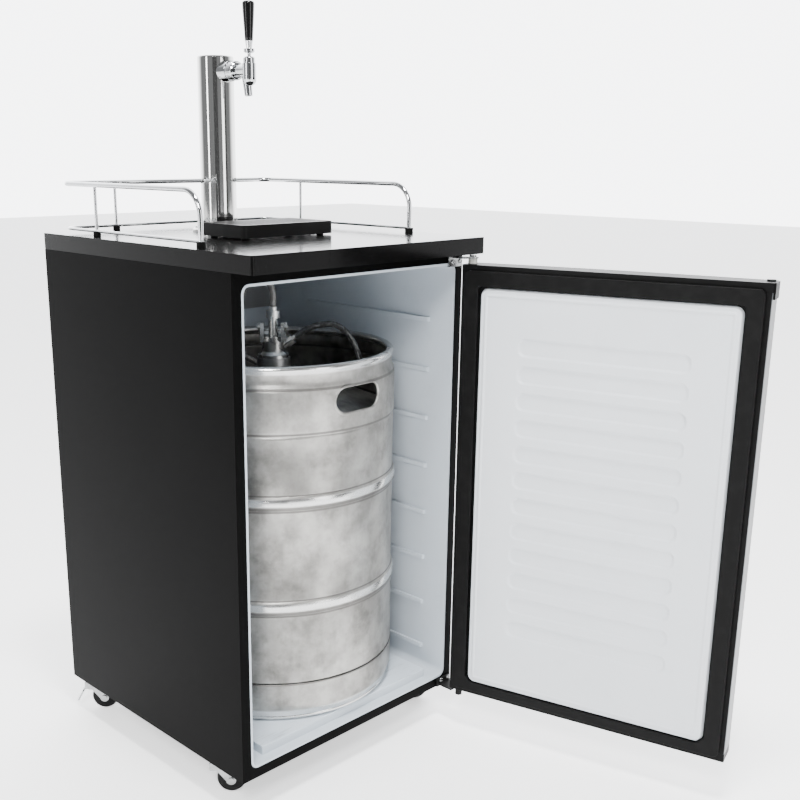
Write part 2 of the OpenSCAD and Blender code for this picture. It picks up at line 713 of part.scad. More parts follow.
module tap_handle() color("#0b0b0c") translate([0, 0, pivot_z + 30]) difference() {
    union() {
        cylinder(d1 = 13.2, d2 = 19.7, h = handle_l - 4);
        translate([0, 0, handle_l - 4]) rotate_extrude() polygon(concat([[0, 0]],
            [for (a = [0 : 15 : 90]) [5.85 + 4 * cos(a), 4 * sin(a)]], [[0, 4]]));
    }
    translate([0, 0, -1]) cylinder(d = 6, h = 21);
}

module faucet_shaft() color("#b98b3c") difference() {
    union() {
        along_y(0, tap_z, shaft_d, -8, 28);
        along_y(0, tap_z, 11, 24, 28);
    }
    block(-2.5, 2.5, -5, 5, tap_z - 10, tap_z + 10);
}

// ---------------------------------------------------------------- hoses
module beer_line() color("#b9bdb4") hose(beer_route, beer_d, 10);
module gas_line() color("#8b8f92") hose(gas_route, gas_d, 10);

// ---------------------------------------------------------------- door
// The door's outline seen from above, its front a shallow arc, shrunk by g
module door_plan(g) intersection() {
    translate([-door_x + g, door_front - door_bulge + g])
        square([2 * (door_x - g), door_t + door_bulge - g]);
    translate([0, door_front - door_bulge + bulge_r]) circle(r = bulge_r - g, $fn = 720);
}

module door_skin() color("#9fa3a6") on_door() translate([0, 0, door_z + cap_h]) difference() {
    linear_extrude(door_top - door_z - 2 * cap_h) door_plan(0);
    translate([0, 0, -1]) linear_extrude(cab_h) door_plan(skin_t);
    block(-door_x + skin_t, door_x - skin_t, door_y - 3, door_y + 1, -1, cab_h);
}

module door_foam() color("#d9cfa0") on_door() difference() {
    translate([0, 0, door_z + cap_h]) linear_extrude(door_top - door_z - 2 * cap_h)
        door_plan(skin_t);
    block(-door_x, door_x, door_y - frame_t, door_y + 1, door_z, door_top);
}

module door_frame() color("#141415") on_door() difference() {
    block(-door_x + skin_t, door_x - skin_t, door_y - frame_t, door_y, door_z + cap_h,
        door_top - cap_h);
    door_panel_hole(0);
}

module door_panel_hole(g) translate([0, door_y + 5, (door_z + foot_margin + door_top - margin) / 2])
    rotate([90, 0, 0]) linear_extrude(30)
    rounded(2 * (door_x - margin - g), door_top - door_z - margin - foot_margin - 2 * g, 14 - g);

module rib(z, l, h) translate([0, door_y + panel_out + rib_out, z]) rotate([90, 0, 0])
    linear_extrude(rib_out + 1) rounded(l, h, h / 2 - 0.5);

// White inner panel, with a raised border line and a stack of wide ribs
module door_liner() color("#eef1f3") on_door() union() {
    intersection() {
        door_panel_hole(0.2);
        block(-door_x, door_x, door_y - frame_t, door_y + panel_out, door_z, door_top);
    }
    difference() {
        intersection() {
            door_panel_hole(9);
            block(-door_x, door_x, door_y + 1, door_y + 6.2, door_z, door_top);
        }
        door_panel_hole(13);
    }
    for (i = [0 : rib_count - 1]) rib(body_z + rib_top - i * rib_pitch, rib_l, rib_h);
    rib(body_z + step_rib, rib_l + 14, rib_h);
}

module door_gasket() color("#0e0e0f") on_door() difference() {
    translate([0, door_y + gasket_t, (door_z + door_top) / 2]) rotate([90, 0, 0])
        linear_extrude(gasket_t) difference() {
            rounded(2 * (hinge_x - 0.5), door_top - door_z - 18, 10);
            rounded(2 * (hinge_x - 0.5 - gasket_w), door_top - door_z - 18 - 2 * gasket_w, 6);
        }
    door_panel_clear();
}

module door_panel_clear() translate([0, door_y + 20, (door_z + foot_margin + door_top - margin) / 2])
    rotate([90, 0, 0]) linear_extrude(30)
    rounded(2 * (door_x - margin), door_top - door_z - margin - foot_margin, 14);

// Moulded caps that close the door's top and bottom, with a finger lip at the free end
module door_end_caps() color("#161618") on_door() {
    for (top = [0, 1]) difference() {
        translate([0, 0, top ? door_top - cap_h : door_z]) union() {
            linear_extrude(cap_h) door_plan(0);
            if (top) {
                block(-door_x - 3, -door_x, door_front + 6, door_y - 4, -10, cap_h);
                translate([-hinge_x, hinge_y, cap_h]) cylinder(d = 13, h = 2.5);
            }
        }
        translate([hinge_x, hinge_y, top ? door_top - bush_l : door_z - 1])
            cylinder(d = bush_d, h = bush_l + 1);
        door_panel_hole(0.2);
    }
}

module door_bushes() color("#e8e8e2") on_door() for (top = [0, 1])
    translate([hinge_x, hinge_y, 0]) difference() {
        union() {
            translate([0, 0, top ? door_top - bush_l : door_z]) cylinder(d = bush_d, h = bush_l);
            translate([0, 0, top ? door_top : lower_z + hinge_t + gap])
                cylinder(d = 15, h = top ? 8 - gap : door_z - lower_z - hinge_t - gap);
        }
        translate([0, 0, top ? door_top - bush_l - 1 : door_z - 20])
            cylinder(d = pin_d + 2 * run, h = bush_l + 40);
    }

// ---------------------------------------------------------------- keg
keg_wall = 2;
hoop_z = [keg_h - 392, keg_h - 216.4];
weld_low = 67;
weld_high = keg_h - 105.6;
dome_rise = 44;
hand_angles = [-89, 91];
hand_w = 98;
hand_h = 44;

chime_t = 2.5;
dome_step = 0.125;
chime_lift = chime_t * dome_rise * dome_step / (barrel_r * (1 - sqrt(1 - dome_step)));
foot_r = barrel_r - 32.5; // where the keg's bottom turns up to its lower weld
foot_drop = 10;

function hoop(z, g) = [for (a = [-90 : 30 : 90])
    [barrel_r - g + 3 * cos(a), z + 9 * sin(a)]];
function dome(z, rise, r, g) = [for (t = [1 : -dome_step : 0])
    [r * sqrt(t), z + rise * (1 - t) - g]];

module keg_shell() color("#b4b5b2") on_keg() difference() {
    rotate_extrude() polygon(concat(
        [[0, weld_low - 30], [60, weld_low - 29], [120, weld_low - 22],
         [foot_r, weld_low - foot_drop], [barrel_r, weld_low]],
        hoop(hoop_z[0], 0), hoop(hoop_z[1], 0), dome(weld_high, dome_rise, barrel_r, 0)));
    rotate_extrude() polygon(concat(
        [[0, weld_low - 28], [60, weld_low - 27], [120, weld_low - 20],
         [foot_r, weld_low - foot_drop + keg_wall], [barrel_r - keg_wall, weld_low + 1]],
        hoop(hoop_z[0], keg_wall), hoop(hoop_z[1], keg_wall),
        dome(weld_high, dome_rise, barrel_r - keg_wall, keg_wall)));
    translate([0, 0, weld_high]) cylinder(d = neck_d, h = 100);
}

function bead(r, z, b) = [for (a = [-60 : 30 : 240]) [r + b * cos(a), z + b * sin(a)]];

module hand_hole(a) rotate([0, 0, a]) translate([keg_r - 40, 0, keg_h - 59])
    rotate([90, 0, 90]) linear_extrude(60) {
        square([hand_w - hand_h, hand_h], center = true);
        for (s = [-1, 1]) translate([s * (hand_w - hand_h) / 2, 0]) circle(d = hand_h);
    }

module keg_top_chime() color("#bcbdba") on_keg() difference() {
    rotate_extrude() polygon(concat(
        [[barrel_r - chime_t, weld_high + chime_lift], [barrel_r, weld_high]],
        [[barrel_r + 1, weld_high + 4], [barrel_r + 1, keg_h - 34], [barrel_r - 4, keg_h - 24],
         [barrel_r - 4, keg_h - 15]],
        [for (a = [-30 : 30 : 210]) [barrel_r - 7 + 6 * cos(a), keg_h - 6 + 6 * sin(a)]],
        [[barrel_r - 7, keg_h - 15], [barrel_r - 7, keg_h - 24], [barrel_r - 2, keg_h - 35],
         [barrel_r - 2, weld_high + 4]]));
    for (a = hand_angles) hand_hole(a);
}

module keg_bottom_chime() color("#bcbdba") on_keg() rotate_extrude() polygon(concat(
    [[barrel_r, weld_low],
     [barrel_r - chime_t, weld_low - chime_t * foot_drop / (barrel_r - foot_r)],
     [barrel_r - chime_t, 30],
     [barrel_r - 11, 12]],
    [for (a = [150 : 30 : 390]) [barrel_r - 11 + 5 * cos(a), 5 + 5 * sin(a)]],
    [[barrel_r - 5, 16], [barrel_r, 30]]));

// Neck with its locking lugs, and the spear that reaches the keg's bottom
module keg_valve() color("#a9abad") on_keg() difference() {
    union() {
        translate([0, 0, weld_high + dome_rise - 14])
            cylinder(d = neck_d, h = neck_top - weld_high - dome_rise + 14);
        translate([0, 0, weld_low - 10]) cylinder(d = 20, h = neck_top - weld_low + 8);
    }
    translate([0, 0, neck_top - 8]) cylinder(d = 40, h = 20);
    translate([0, 0, weld_low - 20]) cylinder(d = 14, h = neck_top);
}

// ---------------------------------------------------------------- coupler
probe_d = 16;

module coupler_body() color("#c4c6c6") on_coupler() difference() {
    union() {
        translate([0, 0, -8]) cylinder(d = 40, h = 8);
        cylinder(d = 52, h = 5);
        translate([0, 0, 5]) cylinder(d1 = 44, d2 = coupler_d, h = 5);
        translate([0, 0, 10]) cylinder(d = coupler_d, h = 26);
        for (s = [-1, 1]) {
            block(s > 0 ? 14 : -20, s > 0 ? 20 : -14, -lever_off - 6, -lever_off + 6, 28,
                pivot_up + 6);
            along_x(-lever_off, pivot_up, 5, s > 0 ? 20 : -26, s > 0 ? 26 : -20);
        }
        translate([12, 0, 17]) rotate([0, 90 - nipple_up, 0]) cylinder(d = 13, h = 14);
        translate([12, 0, 17]) rotate([0, 90 - nipple_up, 0]) translate([0, 0, 13])
            cylinder(d = 18, h = 12, $fn = 24);
        translate([12, 0, 17]) rotate([0, 90 - nipple_up, 0]) cylinder(d = 8, h = 30);
    }
    translate([0, 0, -20]) cylinder(d = probe_d + 2 * run, h = 80);
    translate([12, 0, 17]) rotate([0, 90 - nipple_up, 0]) translate([0, 0, 4])
        cylinder(d = 6, h = 40);
}

// Yoke and handle in their locked position, sloping down behind the coupler
module coupler_lever() color("#b9bbbb") on_coupler()
    translate([0, -lever_off, pivot_up]) rotate([-lever_half, 0, 0]) union() {
        for (s = [-1, 1]) difference() {
            union() {
                along_x(0, 0, 14, s > 0 ? arm_x : -arm_x - arm_t, s > 0 ? arm_x + arm_t : -arm_x);
                block(s > 0 ? arm_x : -arm_x - arm_t, s > 0 ? arm_x + arm_t : -arm_x,
                    0, 46, -7, 7);
            }
            along_x(0, 0, 5 + 2 * run, -40, 40);
            block(-40, 40, 14.8, 23.2, -3.9, 3.9);
        }
        block(-arm_x - arm_t, arm_x + arm_t, 46, 53, -7, 7);
        block(-9, 9, 53, 122, -4, 4);
        along_x(122, 0, 12, -9, 9);
    }

module coupler_probe() color("#c4c6c6") on_coupler() difference() {
    union() {
        translate([0, 0, -6]) cylinder(d = probe_d, h = 72);
        along_x(0, pivot_up - lever_drop, 5, -26, 26);
        translate([0, 0, 66]) cylinder(d = 24, h = 12, $fn = 24);
        translate([0, 0, 78]) cylinder(d = 14, h = 6);
    }
    translate([0, 0, -10]) cylinder(d = 6, h = 120);
}

// ---------------------------------------------------------------- casters
// A caster's own frame: the wheel trails along +X before the turn
module turned() rotate([0, 0, caster_turn]) children();

module caster_plates() color("#b4b8bb") for (x = [-1, 1], y = [-1, 1]) on_caster(x, y) union() {
    block(-21, 21, -18, 18, caster_h - caster_plate_t, caster_h);
    translate([0, 0, caster_h - 9]) cylinder(d = king_d, h = 7);
    translate([0, 0, caster_h - 11]) cylinder(d = 13, h = 2);
}

module caster_fork() color("#b4b8bb") turned() difference() {
    union() {
        translate([0, 0, caster_h - 8]) cylinder(d = 34, h = 4.5);
        for (s = [-1, 1]) {
            translate([0, s > 0 ? leg_x : -leg_x - leg_t, 0]) rotate([90, 0, 0])
                mirror([0, 0, 1]) linear_extrude(leg_t) {
                    polygon([[-15, caster_h - 8], [14, caster_h - 8],
                        [trail + 8, wheel_d / 2], [trail - 8, wheel_d / 2 - 1],
                        [-2, caster_h - 22], [-15, caster_h - 21]]);
                    translate([trail, wheel_d / 2]) circle(d = 16);
                }
            along_y(trail, wheel_d / 2, 10, s > 0 ? leg_x + leg_t : -leg_x - leg_t - 2,
                s > 0 ? leg_x + leg_t + 2 : -leg_x - leg_t);
        }
        along_y(trail, wheel_d / 2, axle_d, -leg_x - leg_t, leg_x + leg_t);
        along_y(pedal_pin_u, pedal_pin_z, 4, -leg_x - leg_t, leg_x + leg_t);
    }
    cylinder(d = king_d + 2 * run, h = caster_h);
}

module caster_wheel() color("#141414") turned() translate([trail, 0, wheel_d / 2])
    rotate([90, 0, 0]) difference() {
        rotate_extrude() polygon(concat([[0, -wheel_w / 2], [wheel_d / 2 - 8, -wheel_w / 2],
            [wheel_d / 2 - 6, -wheel_w / 2 + 1]],
            [for (a = [-60 : 20 : 60])
                [wheel_d / 2 - 8 + 8 * cos(a), (wheel_w / 2 - 0.5) * sin(a) / sin(60)]],
            [[wheel_d / 2 - 6, wheel_w / 2 - 1], [wheel_d / 2 - 8, wheel_w / 2], [0, wheel_w / 2]]));
        cylinder(d = axle_d + 2 * run, h = 60, center = true);
    }

// Pressed steel pedal, pointing down in its locked position
module brake_pedal() color("#bfc3c6") turned() translate([pedal_pin_u, 0, pedal_pin_z])
    difference() {
        union() {
            along_y(0, 0, 8, -leg_x + gap, leg_x - gap);
            rotate([0, 28, 0]) block(-3.6, -1.2, -leg_x + gap + 1, leg_x - gap - 1, -13, -2.6);
            rotate([0, 28, 0]) block(-4, -0.8, -11, 11, -34, -12);
        }
        along_y(0, 0, 4 + 2 * run, -30, 30);
    }

// ---------------------------------------------------------------- the whole object
outer_shell();
rear_panel();
base_pan();
inner_liner();
cabinet_foam();
worktop();
keg_floor_plate();
evaporator_plate();
thermostat_housing();
thermostat_knob();
condenser_coil();
compressor();
power_inlet();
gas_bulkhead();
upper_hinge();
lower_hinge();
screws();
caster_plates();
guard_rail();
rail_feet();
drip_tray();
drip_grid();
tower_column();
tower_cap();
tower_flange();
faucet_shank();
shank_clamp();
coupling_nut();
faucet_body();
faucet_bonnet();
faucet_lever();
tap_handle();
faucet_shaft();
beer_line();
gas_line();
door_skin();
door_foam();
door_frame();
door_liner();
door_gasket();
door_end_caps();
door_bushes();
keg_shell();
keg_top_chime();
keg_bottom_chime();
keg_valve();
coupler_body();
coupler_lever();
coupler_probe();
on_caster(-1, 1) caster_fork();  // fork_rear_left
on_caster(1, 1) caster_fork();  // fork_rear_right
on_caster(-1, -1) caster_fork();  // fork_front_left
on_caster(1, -1) caster_fork();  // fork_front_right
on_caster(-1, 1) caster_wheel();  // wheel_rear_left
on_caster(1, 1) caster_wheel();  // wheel_rear_right
on_caster(-1, -1) caster_wheel();  // wheel_front_left
on_caster(1, -1) caster_wheel();  // wheel_front_right
on_caster(-1, 1) brake_pedal();  // brake_pedal_left
on_caster(1, 1) brake_pedal();  // brake_pedal_right
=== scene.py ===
import json
import math

import bmesh
import bpy
import numpy as np
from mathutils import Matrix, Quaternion, Vector


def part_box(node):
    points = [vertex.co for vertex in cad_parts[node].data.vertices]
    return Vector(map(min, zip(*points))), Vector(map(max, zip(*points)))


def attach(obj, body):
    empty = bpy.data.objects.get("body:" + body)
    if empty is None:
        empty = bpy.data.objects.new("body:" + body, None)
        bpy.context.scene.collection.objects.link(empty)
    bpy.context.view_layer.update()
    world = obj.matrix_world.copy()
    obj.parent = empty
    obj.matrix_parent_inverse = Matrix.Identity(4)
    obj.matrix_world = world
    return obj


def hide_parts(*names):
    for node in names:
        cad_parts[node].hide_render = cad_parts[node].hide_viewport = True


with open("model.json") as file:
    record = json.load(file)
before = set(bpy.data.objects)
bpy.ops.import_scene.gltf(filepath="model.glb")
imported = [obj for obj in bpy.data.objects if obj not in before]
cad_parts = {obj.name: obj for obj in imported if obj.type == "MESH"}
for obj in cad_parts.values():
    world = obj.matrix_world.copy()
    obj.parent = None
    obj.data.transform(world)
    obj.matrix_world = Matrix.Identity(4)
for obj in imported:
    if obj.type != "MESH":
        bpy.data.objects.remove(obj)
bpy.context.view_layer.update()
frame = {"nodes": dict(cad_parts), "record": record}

# ---------------------------------------------------------------- studio
# A pale floor that glows faintly, a key light high on the left, a weak fill in front, a small
# light above that grazes the door's panel and a strip at the side for the chrome. Two dark
# cards, hidden from the camera, put dark bands in the polished steel.
MM = 0.001
VIEW_PLACE = Vector((-1.1445, -1.3970, 1.0043))
VIEW_TURN = math.radians(44.59)
VIEW_DIP = math.radians(14.97)
VIEW_ROLL = math.radians(0.27)
VIEW_LENS = 48.14
VIEW_SHIFT = (0.0604, 0.0460)


def add_object(name, data):
    made = bpy.data.objects.new(name, data)
    bpy.context.scene.collection.objects.link(made)
    return made


def look_along(made, direction, roll=0.0):
    made.rotation_mode = "QUATERNION"
    turn = Vector(direction).to_track_quat("-Z", "Y")
    made.rotation_quaternion = turn @ Quaternion((0, 0, 1), roll)


camera = add_object("camera", bpy.data.cameras.new("camera"))
camera.location = VIEW_PLACE
look_along(camera, (math.sin(VIEW_TURN) * math.cos(VIEW_DIP),
                    math.cos(VIEW_TURN) * math.cos(VIEW_DIP), -math.sin(VIEW_DIP)), VIEW_ROLL)
camera.data.sensor_width = 36
camera.data.lens = VIEW_LENS
camera.data.shift_x, camera.data.shift_y = VIEW_SHIFT
bpy.context.scene.camera = camera


def soft_light(name, place, aim, width, height, watts, colour=(1, 1, 1)):
    lamp = bpy.data.lights.new(name, "AREA")
    lamp.shape = "RECTANGLE"
    lamp.size, lamp.size_y, lamp.energy, lamp.color = width, height, watts, colour
    made = add_object(name, lamp)
    made.location = place
    look_along(made, Vector(aim) - Vector(place))
    return made


soft_light("key_light", (-2.3, -2.0, 2.8), (0.2, -0.3, 0.5), 0.9, 0.9, 125)
soft_light("front_fill", (0.2, -3.6, 1.3), (0.15, -0.2, 0.55), 1.0, 2.0, 36)
soft_light("top_light", (-0.35, -0.75, 3.1), (0.25, -0.5, 0.4), 0.5, 0.5, 120)
soft_light("side_strip", (-3.0, 0.35, 1.25), (0, 0.088, 1.05), 0.35, 1.7, 26)


def dark_flag(name, place, aim, width, height):
    """A matt black card, hidden from the camera, that shows as a dark band in the steel."""
    corners = [(x * width / 2, y * height / 2, 0) for x, y in ((-1, -1), (1, -1), (1, 1), (-1, 1))]
    mesh = bpy.data.meshes.new(name)
    mesh.from_pydata(corners, [], [(0, 1, 2, 3)])
    made = add_object(name, mesh)
    made.location = place
    look_along(made, Vector(aim) - Vector(place))
    card = bpy.data.materials.new(name)
    card.use_nodes = True
    shader = card.node_tree.nodes["Principled BSDF"]
    shader.inputs["Base Color"].default_value = (0.01, 0.01, 0.01, 1)
    shader.inputs["Roughness"].default_value = 0.9
    mesh.materials.append(card)
    made.visible_camera = False


dark_flag("camera_flag", (-2.1, -2.2, 1.1), (0, 0.088, 1.1), 1.5, 2.1)
dark_flag("right_flag", (0.95, -3.0, 1.5), (0, 0.088, 1.1), 0.7, 3.0)


def studio_air():
    """Air that glows white behind the cabinet and is dim behind the camera."""
    air = bpy.data.worlds.new("studio_air")
    air.use_nodes = True
    tree = air.node_tree
    facing = tree.nodes.new("ShaderNodeTexCoord")
    lean = tree.nodes.new("ShaderNodeVectorMath")
    lean.operation = "DOT_PRODUCT"
    lean.inputs[1].default_value = (math.sin(VIEW_TURN), math.cos(VIEW_TURN), 0)
    tree.links.new(facing.outputs["Generated"], lean.inputs[0])
    glow = tree.nodes.new("ShaderNodeMapRange")
    glow.interpolation_type = "SMOOTHSTEP"
    for name, value in (("From Min", 0.0), ("From Max", 0.75), ("To Min", 0.38), ("To Max", 6.5)):
        glow.inputs[name].default_value = value
    tree.links.new(lean.outputs["Value"], glow.inputs["Value"])
    background = tree.nodes["Background"]
    background.inputs["Color"].default_value = (0.97, 0.98, 1.0, 1)
    tree.links.new(glow.outputs["Result"], background.inputs["Strength"])
    return air


bpy.context.scene.world = studio_air()


class Field:
    """A value that varies over a surface. Arithmetic on it adds Math nodes."""

    def __init__(self, tree, socket):
        self.tree = tree
        self.socket = socket

    def node(self, kind, sockets, out=0, **settings):
        made = self.tree.nodes.new(kind)
        for name, value in settings.items():
            setattr(made, name, value)
        for name, value in sockets.items():
            if isinstance(value, Field):
                self.tree.links.new(value.socket, made.inputs[name])
            else:
                made.inputs[name].default_value = value
        return Field(self.tree, made.outputs[out])

    def math(self, operation, one, other=0.0):
        return self.node("ShaderNodeMath", {0: one, 1: other}, operation=operation)

    def __add__(self, other):
        return self.math("ADD", self, other)

    def __radd__(self, other):
        return self.math("ADD", other, self)

    def __sub__(self, other):
        return self.math("SUBTRACT", self, other)

    def __rsub__(self, other):
        return self.math("SUBTRACT", other, self)

    def __mul__(self, other):
        return self.math("MULTIPLY", self, other)

    def __rmul__(self, other):
        return self.math("MULTIPLY", other, self)

    def __pow__(self, other):
        return self.math("POWER", self, other)

    def __abs__(self):
        return self.math("ABSOLUTE", self)

    def rise(self, low, high):
        """0 up to low, 1 from high on, smooth in between. It falls where high is the lower one."""
        return self.node("ShaderNodeMapRange", {"Value": self, "From Min": low, "From Max": high},
                         interpolation_type="SMOOTHSTEP")

    def noise(self, scale, detail=3.0, rough=0.5):
        """From 0 to 1 over a place. The scale is lumps per metre."""
        return self.node("ShaderNodeTexNoise", {"Vector": self, "Scale": scale, "Detail": detail,
                                                "Roughness": rough})

    def stretched(self, scale, centre=(0, 0, 0)):
        """A place measured from a centre, with each axis scaled by itself."""
        moved = self.node("ShaderNodeVectorMath", {0: self, 1: centre}, operation="SUBTRACT")
        return moved.node("ShaderNodeVectorMath", {0: moved, 1: scale}, operation="MULTIPLY")

    def part(self, axis):
        """One coordinate of a place."""
        return self.node("ShaderNodeSeparateXYZ", {0: self}, out=axis)

    def blend(self, low, high):
        """A colour from low to high as this value goes from 0 to 1."""
        return self.node("ShaderNodeMix", {0: self, 6: low, 7: high}, out=2, data_type="RGBA")


def grey(value, warm=0.0):
    return (value * (1 + warm), value, value * (1 - warm), 1)


def surface(name):
    """A new material, and the place on its piece in metres."""
    material = bpy.data.materials.new(name)
    material.use_nodes = True
    tree = material.node_tree
    place = tree.nodes.new("ShaderNodeTexCoord")
    return material, Field(tree, place.outputs["Object"])


def coated(material, sockets, height=None, depth=0.0001):
    """Sets a material's shader sockets by name, and its bump from a height."""
    tree = material.node_tree
    shader = tree.nodes["Principled BSDF"]
    for name, value in sockets.items():
        if isinstance(value, Field):
            tree.links.new(value.socket, shader.inputs[name])
        else:
            shader.inputs[name].default_value = value
    if height is not None:
        bump = height.node("ShaderNodeBump", {"Height": height, "Distance": depth})
        tree.links.new(bump.socket, shader.inputs["Normal"])
    return material


def studio_floor():
    material, place = surface("studio_floor")
    cloud = place.noise(2.0, 3.0)
    return coated(material, {"Base Color": cloud.blend(grey(0.95), grey(0.98)), "Roughness": 0.6,
                             "Emission Color": grey(1.0), "Emission Strength": 1.0,
                             "Specular IOR Level": 0.25})


FLOOR_HALF = 14.0
floor_mesh = bpy.data.meshes.new("floor")
floor_mesh.from_pydata([(x * FLOOR_HALF, y * FLOOR_HALF, 0) for x, y in
                        ((-1, -1), (1, -1), (1, 1), (-1, 1))], [], [(0, 1, 2, 3)])
floor = add_object("floor", floor_mesh)
floor_mesh.materials.append(studio_floor())

# ---------------------------------------------------------------- beer line and gas line
# Two free hoses of soft tube, pushed on their barbs: the beer line from the coupler up into the
# tower, and the gas line from the coupler's side to the fitting in the rear wall. Each lies in
# one easy turn on the keg's top.
BEER_ROUTE = ((8, -40, 754), (8, -40, 764), (8, -40, 776), (5, -37, 789), (-3, -29, 799),
              (-14, -18, 800), (-23, -9, 791), (-28, -3, 774), (-31, 1, 750), (-34, 5, 720),
              (-40, 10, 688), (-52, 12, 660), (-70, 6, 640), (-90, -12, 630), (-102, -40, 627),
              (-98, -72, 626), (-80, -104, 626), (-52, -130, 626), (-18, -146, 626),
              (20, -149, 626), (58, -140, 626), (90, -118, 626), (110, -88, 626),
              (119, -52, 626), (117, -14, 626), (104, 22, 627), (82, 50, 630), (54, 71, 640),
              (30, 82, 662), (14, 86, 692), (5, 88, 724), (1, 88, 758), (0, 88, 794),
              (0, 88, 850), (0, 89, 910), (0, 91, 970), (0, 94, 1030), (0, 95, 1070),
              (0, 95, 1100))
GAS_ROUTE = ((34, -66, 703), (42, -74, 711), (53, -85, 719), (66, -98, 724),
             (79, -110, 724), (91, -121, 716), (100, -130, 702), (107, -137, 684),
             (113, -141, 662), (121, -139, 641), (132, -127, 624), (145, -102, 616),
             (154, -70, 613), (158, -36, 613), (155, 0, 613), (144, 34, 613), (125, 64, 613),
             (98, 90, 613), (64, 106, 614), (28, 116, 617), (-8, 118, 624), (-38, 114, 640),
             (-60, 110, 664), (-78, 110, 688), (-96, 114, 702), (-116, 121, 706),
             (-140, 130, 704), (-164, 140, 699), (-184, 152, 694), (-194, 166, 692),
             (-196, 178, 692), (-196, 190, 692))
BEER_BORE_OUT = 11 * MM
GAS_BORE_OUT = 10 * MM
BODY_OF = {node: body for body, nodes in frame["record"]["behaviour"]["bodies"].items()
           for node in nodes}


def eased(route, steps):
    """A smooth line through a route's points, in metres."""
    points = [Vector(p) * MM for p in route]
    line = []
    for i in range(len(points) - 1):
        a, b, c, d = (points[max(i - 1, 0)], points[i], points[i + 1],
                      points[min(i + 2, len(points) - 1)])
        for k in range(steps):
            t = k / steps
            line.append(0.5 * (2 * b + (c - a) * t + (2 * a - 5 * b + 4 * c - d) * t * t
                               + (3 * b - a - 3 * c + d) * t ** 3))
    return line + [points[-1]]


def length_of(line):
    return sum((b - a).length for a, b in zip(line, line[1:]))


def swept(line, radius, sides=20, closed=False):
    """A round tube along a line, as a bmesh. radius is one number or one for each point."""
    count = len(line)
    radii = radius if hasattr(radius, "__len__") else [radius] * count
    made = bmesh.new()
    rings, side = [], Vector((1, 0.05, 0.1))
    for i in range(count):
        before = line[i - 1] if i or closed else line[0]
        after = line[(i + 1) % count] if i < count - 1 or closed else line[-1]
        along = (after - before).normalized()
        side = (side - along * side.dot(along)).normalized()
        other = along.cross(side)
        ring = [line[i] + radii[i] * (math.cos(a) * side + math.sin(a) * other)
                for a in np.arange(sides) * 2 * math.pi / sides]
        rings.append([made.verts.new(spot) for spot in ring])
    for i in range(count if closed else count - 1):
        one, two = rings[i], rings[(i + 1) % count]
        for k in range(sides):
            made.faces.new((one[k], one[(k + 1) % sides], two[(k + 1) % sides], two[k]))
    if not closed:
        made.faces.new(rings[0][::-1])
        made.faces.new(rings[-1])
    bmesh.ops.recalc_face_normals(made, faces=made.faces)
    return made


def piece(name, shape, material, nodes, sharp=35, body=None):
    """A finished piece from a bmesh or a mesh, which stands for one or more CAD nodes."""
    if isinstance(shape, bmesh.types.BMesh):
        mesh = bpy.data.meshes.new(name)
        shape.to_mesh(mesh)
        shape.free()
        mesh.shade_smooth()
        mesh.set_sharp_from_angle(angle=math.radians(sharp))
    else:
        mesh = shape
    mesh.materials.clear()
    mesh.materials.append(material)
    made = add_object(name, mesh)
    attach(made, body or BODY_OF[nodes[0]])
    if nodes:
        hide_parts(*nodes)
    return made


def soft_tube(name, low, high, gloss):
    """Clear vinyl that has gone a little cloudy, with dull handling marks."""
    material, place = surface(name)
    cloud = place.noise(45, 4)
    scuff = place.noise(320, 3, 0.7).rise(0.55, 0.75)
    return coated(material, {"Base Color": cloud.blend(low, high),
                             "Roughness": gloss + 0.25 * scuff, "Coat Weight": 0.4,
                             "Transmission Weight": 0.35, "IOR": 1.5},
                  place.noise(160, 2), 0.0003)


beer_path = eased(BEER_ROUTE, 4)
gas_path = eased(GAS_ROUTE, 4)
beer_line = piece("beer_hose", swept(beer_path, BEER_BORE_OUT / 2),
                  soft_tube("beer_vinyl", grey(0.12, 0.05), grey(0.22, 0.05), 0.2), ["beer_line"])
gas_line = piece("gas_hose", swept(gas_path, GAS_BORE_OUT / 2),
                 soft_tube("gas_vinyl", grey(0.03), grey(0.07), 0.24), ["gas_line"])
length_of(beer_path)
length_of(gas_path)

# ---------------------------------------------------------------- cabinet skin and base
# The wrap is one sheet of pre-painted steel folded round the sides and top, in a satin black
# with a fine orange-peel. The rear panel and the base pan are plainer painted sheet.
def merged(node):
    """A copy of a CAD node's mesh with its triangles joined and its flat faces made whole."""
    made = bmesh.new()
    made.from_mesh(frame["nodes"][node].data)
    bmesh.ops.remove_doubles(made, verts=made.verts, dist=2e-6)
    bmesh.ops.dissolve_degenerate(made, edges=made.edges, dist=1e-6)
    bmesh.ops.dissolve_limit(made, angle_limit=math.radians(0.4), verts=made.verts,
                             edges=made.edges)
    return made


def baked(made):
    """An object's mesh with its modifiers applied. The object itself is removed."""
    graph = bpy.context.evaluated_depsgraph_get()
    mesh = bpy.data.meshes.new_from_object(made.evaluated_get(graph))
    mesh.name = made.name + "_mesh"
    bpy.data.objects.remove(made)
    return mesh


def eased_edges(node, width, material, segments=3, sharp=30, name=None):
    """A CAD node's shape with its sharp edges rounded by width, in place of the node."""
    mesh = bpy.data.meshes.new(node + "_raw")
    shape = merged(node)
    shape.to_mesh(mesh)
    shape.free()
    mesh.shade_smooth()
    mesh.set_sharp_from_angle(angle=math.radians(sharp))
    raw = add_object(node + "_raw", mesh)
    bevel = raw.modifiers.new("edge", "BEVEL")
    bevel.width = width
    bevel.segments = segments
    bevel.limit_method = "ANGLE"
    bevel.angle_limit = math.radians(sharp)
    bevel.harden_normals = True
    bevel.use_clamp_overlap = True
    return piece(name or node + "_made", baked(raw), material, [node])


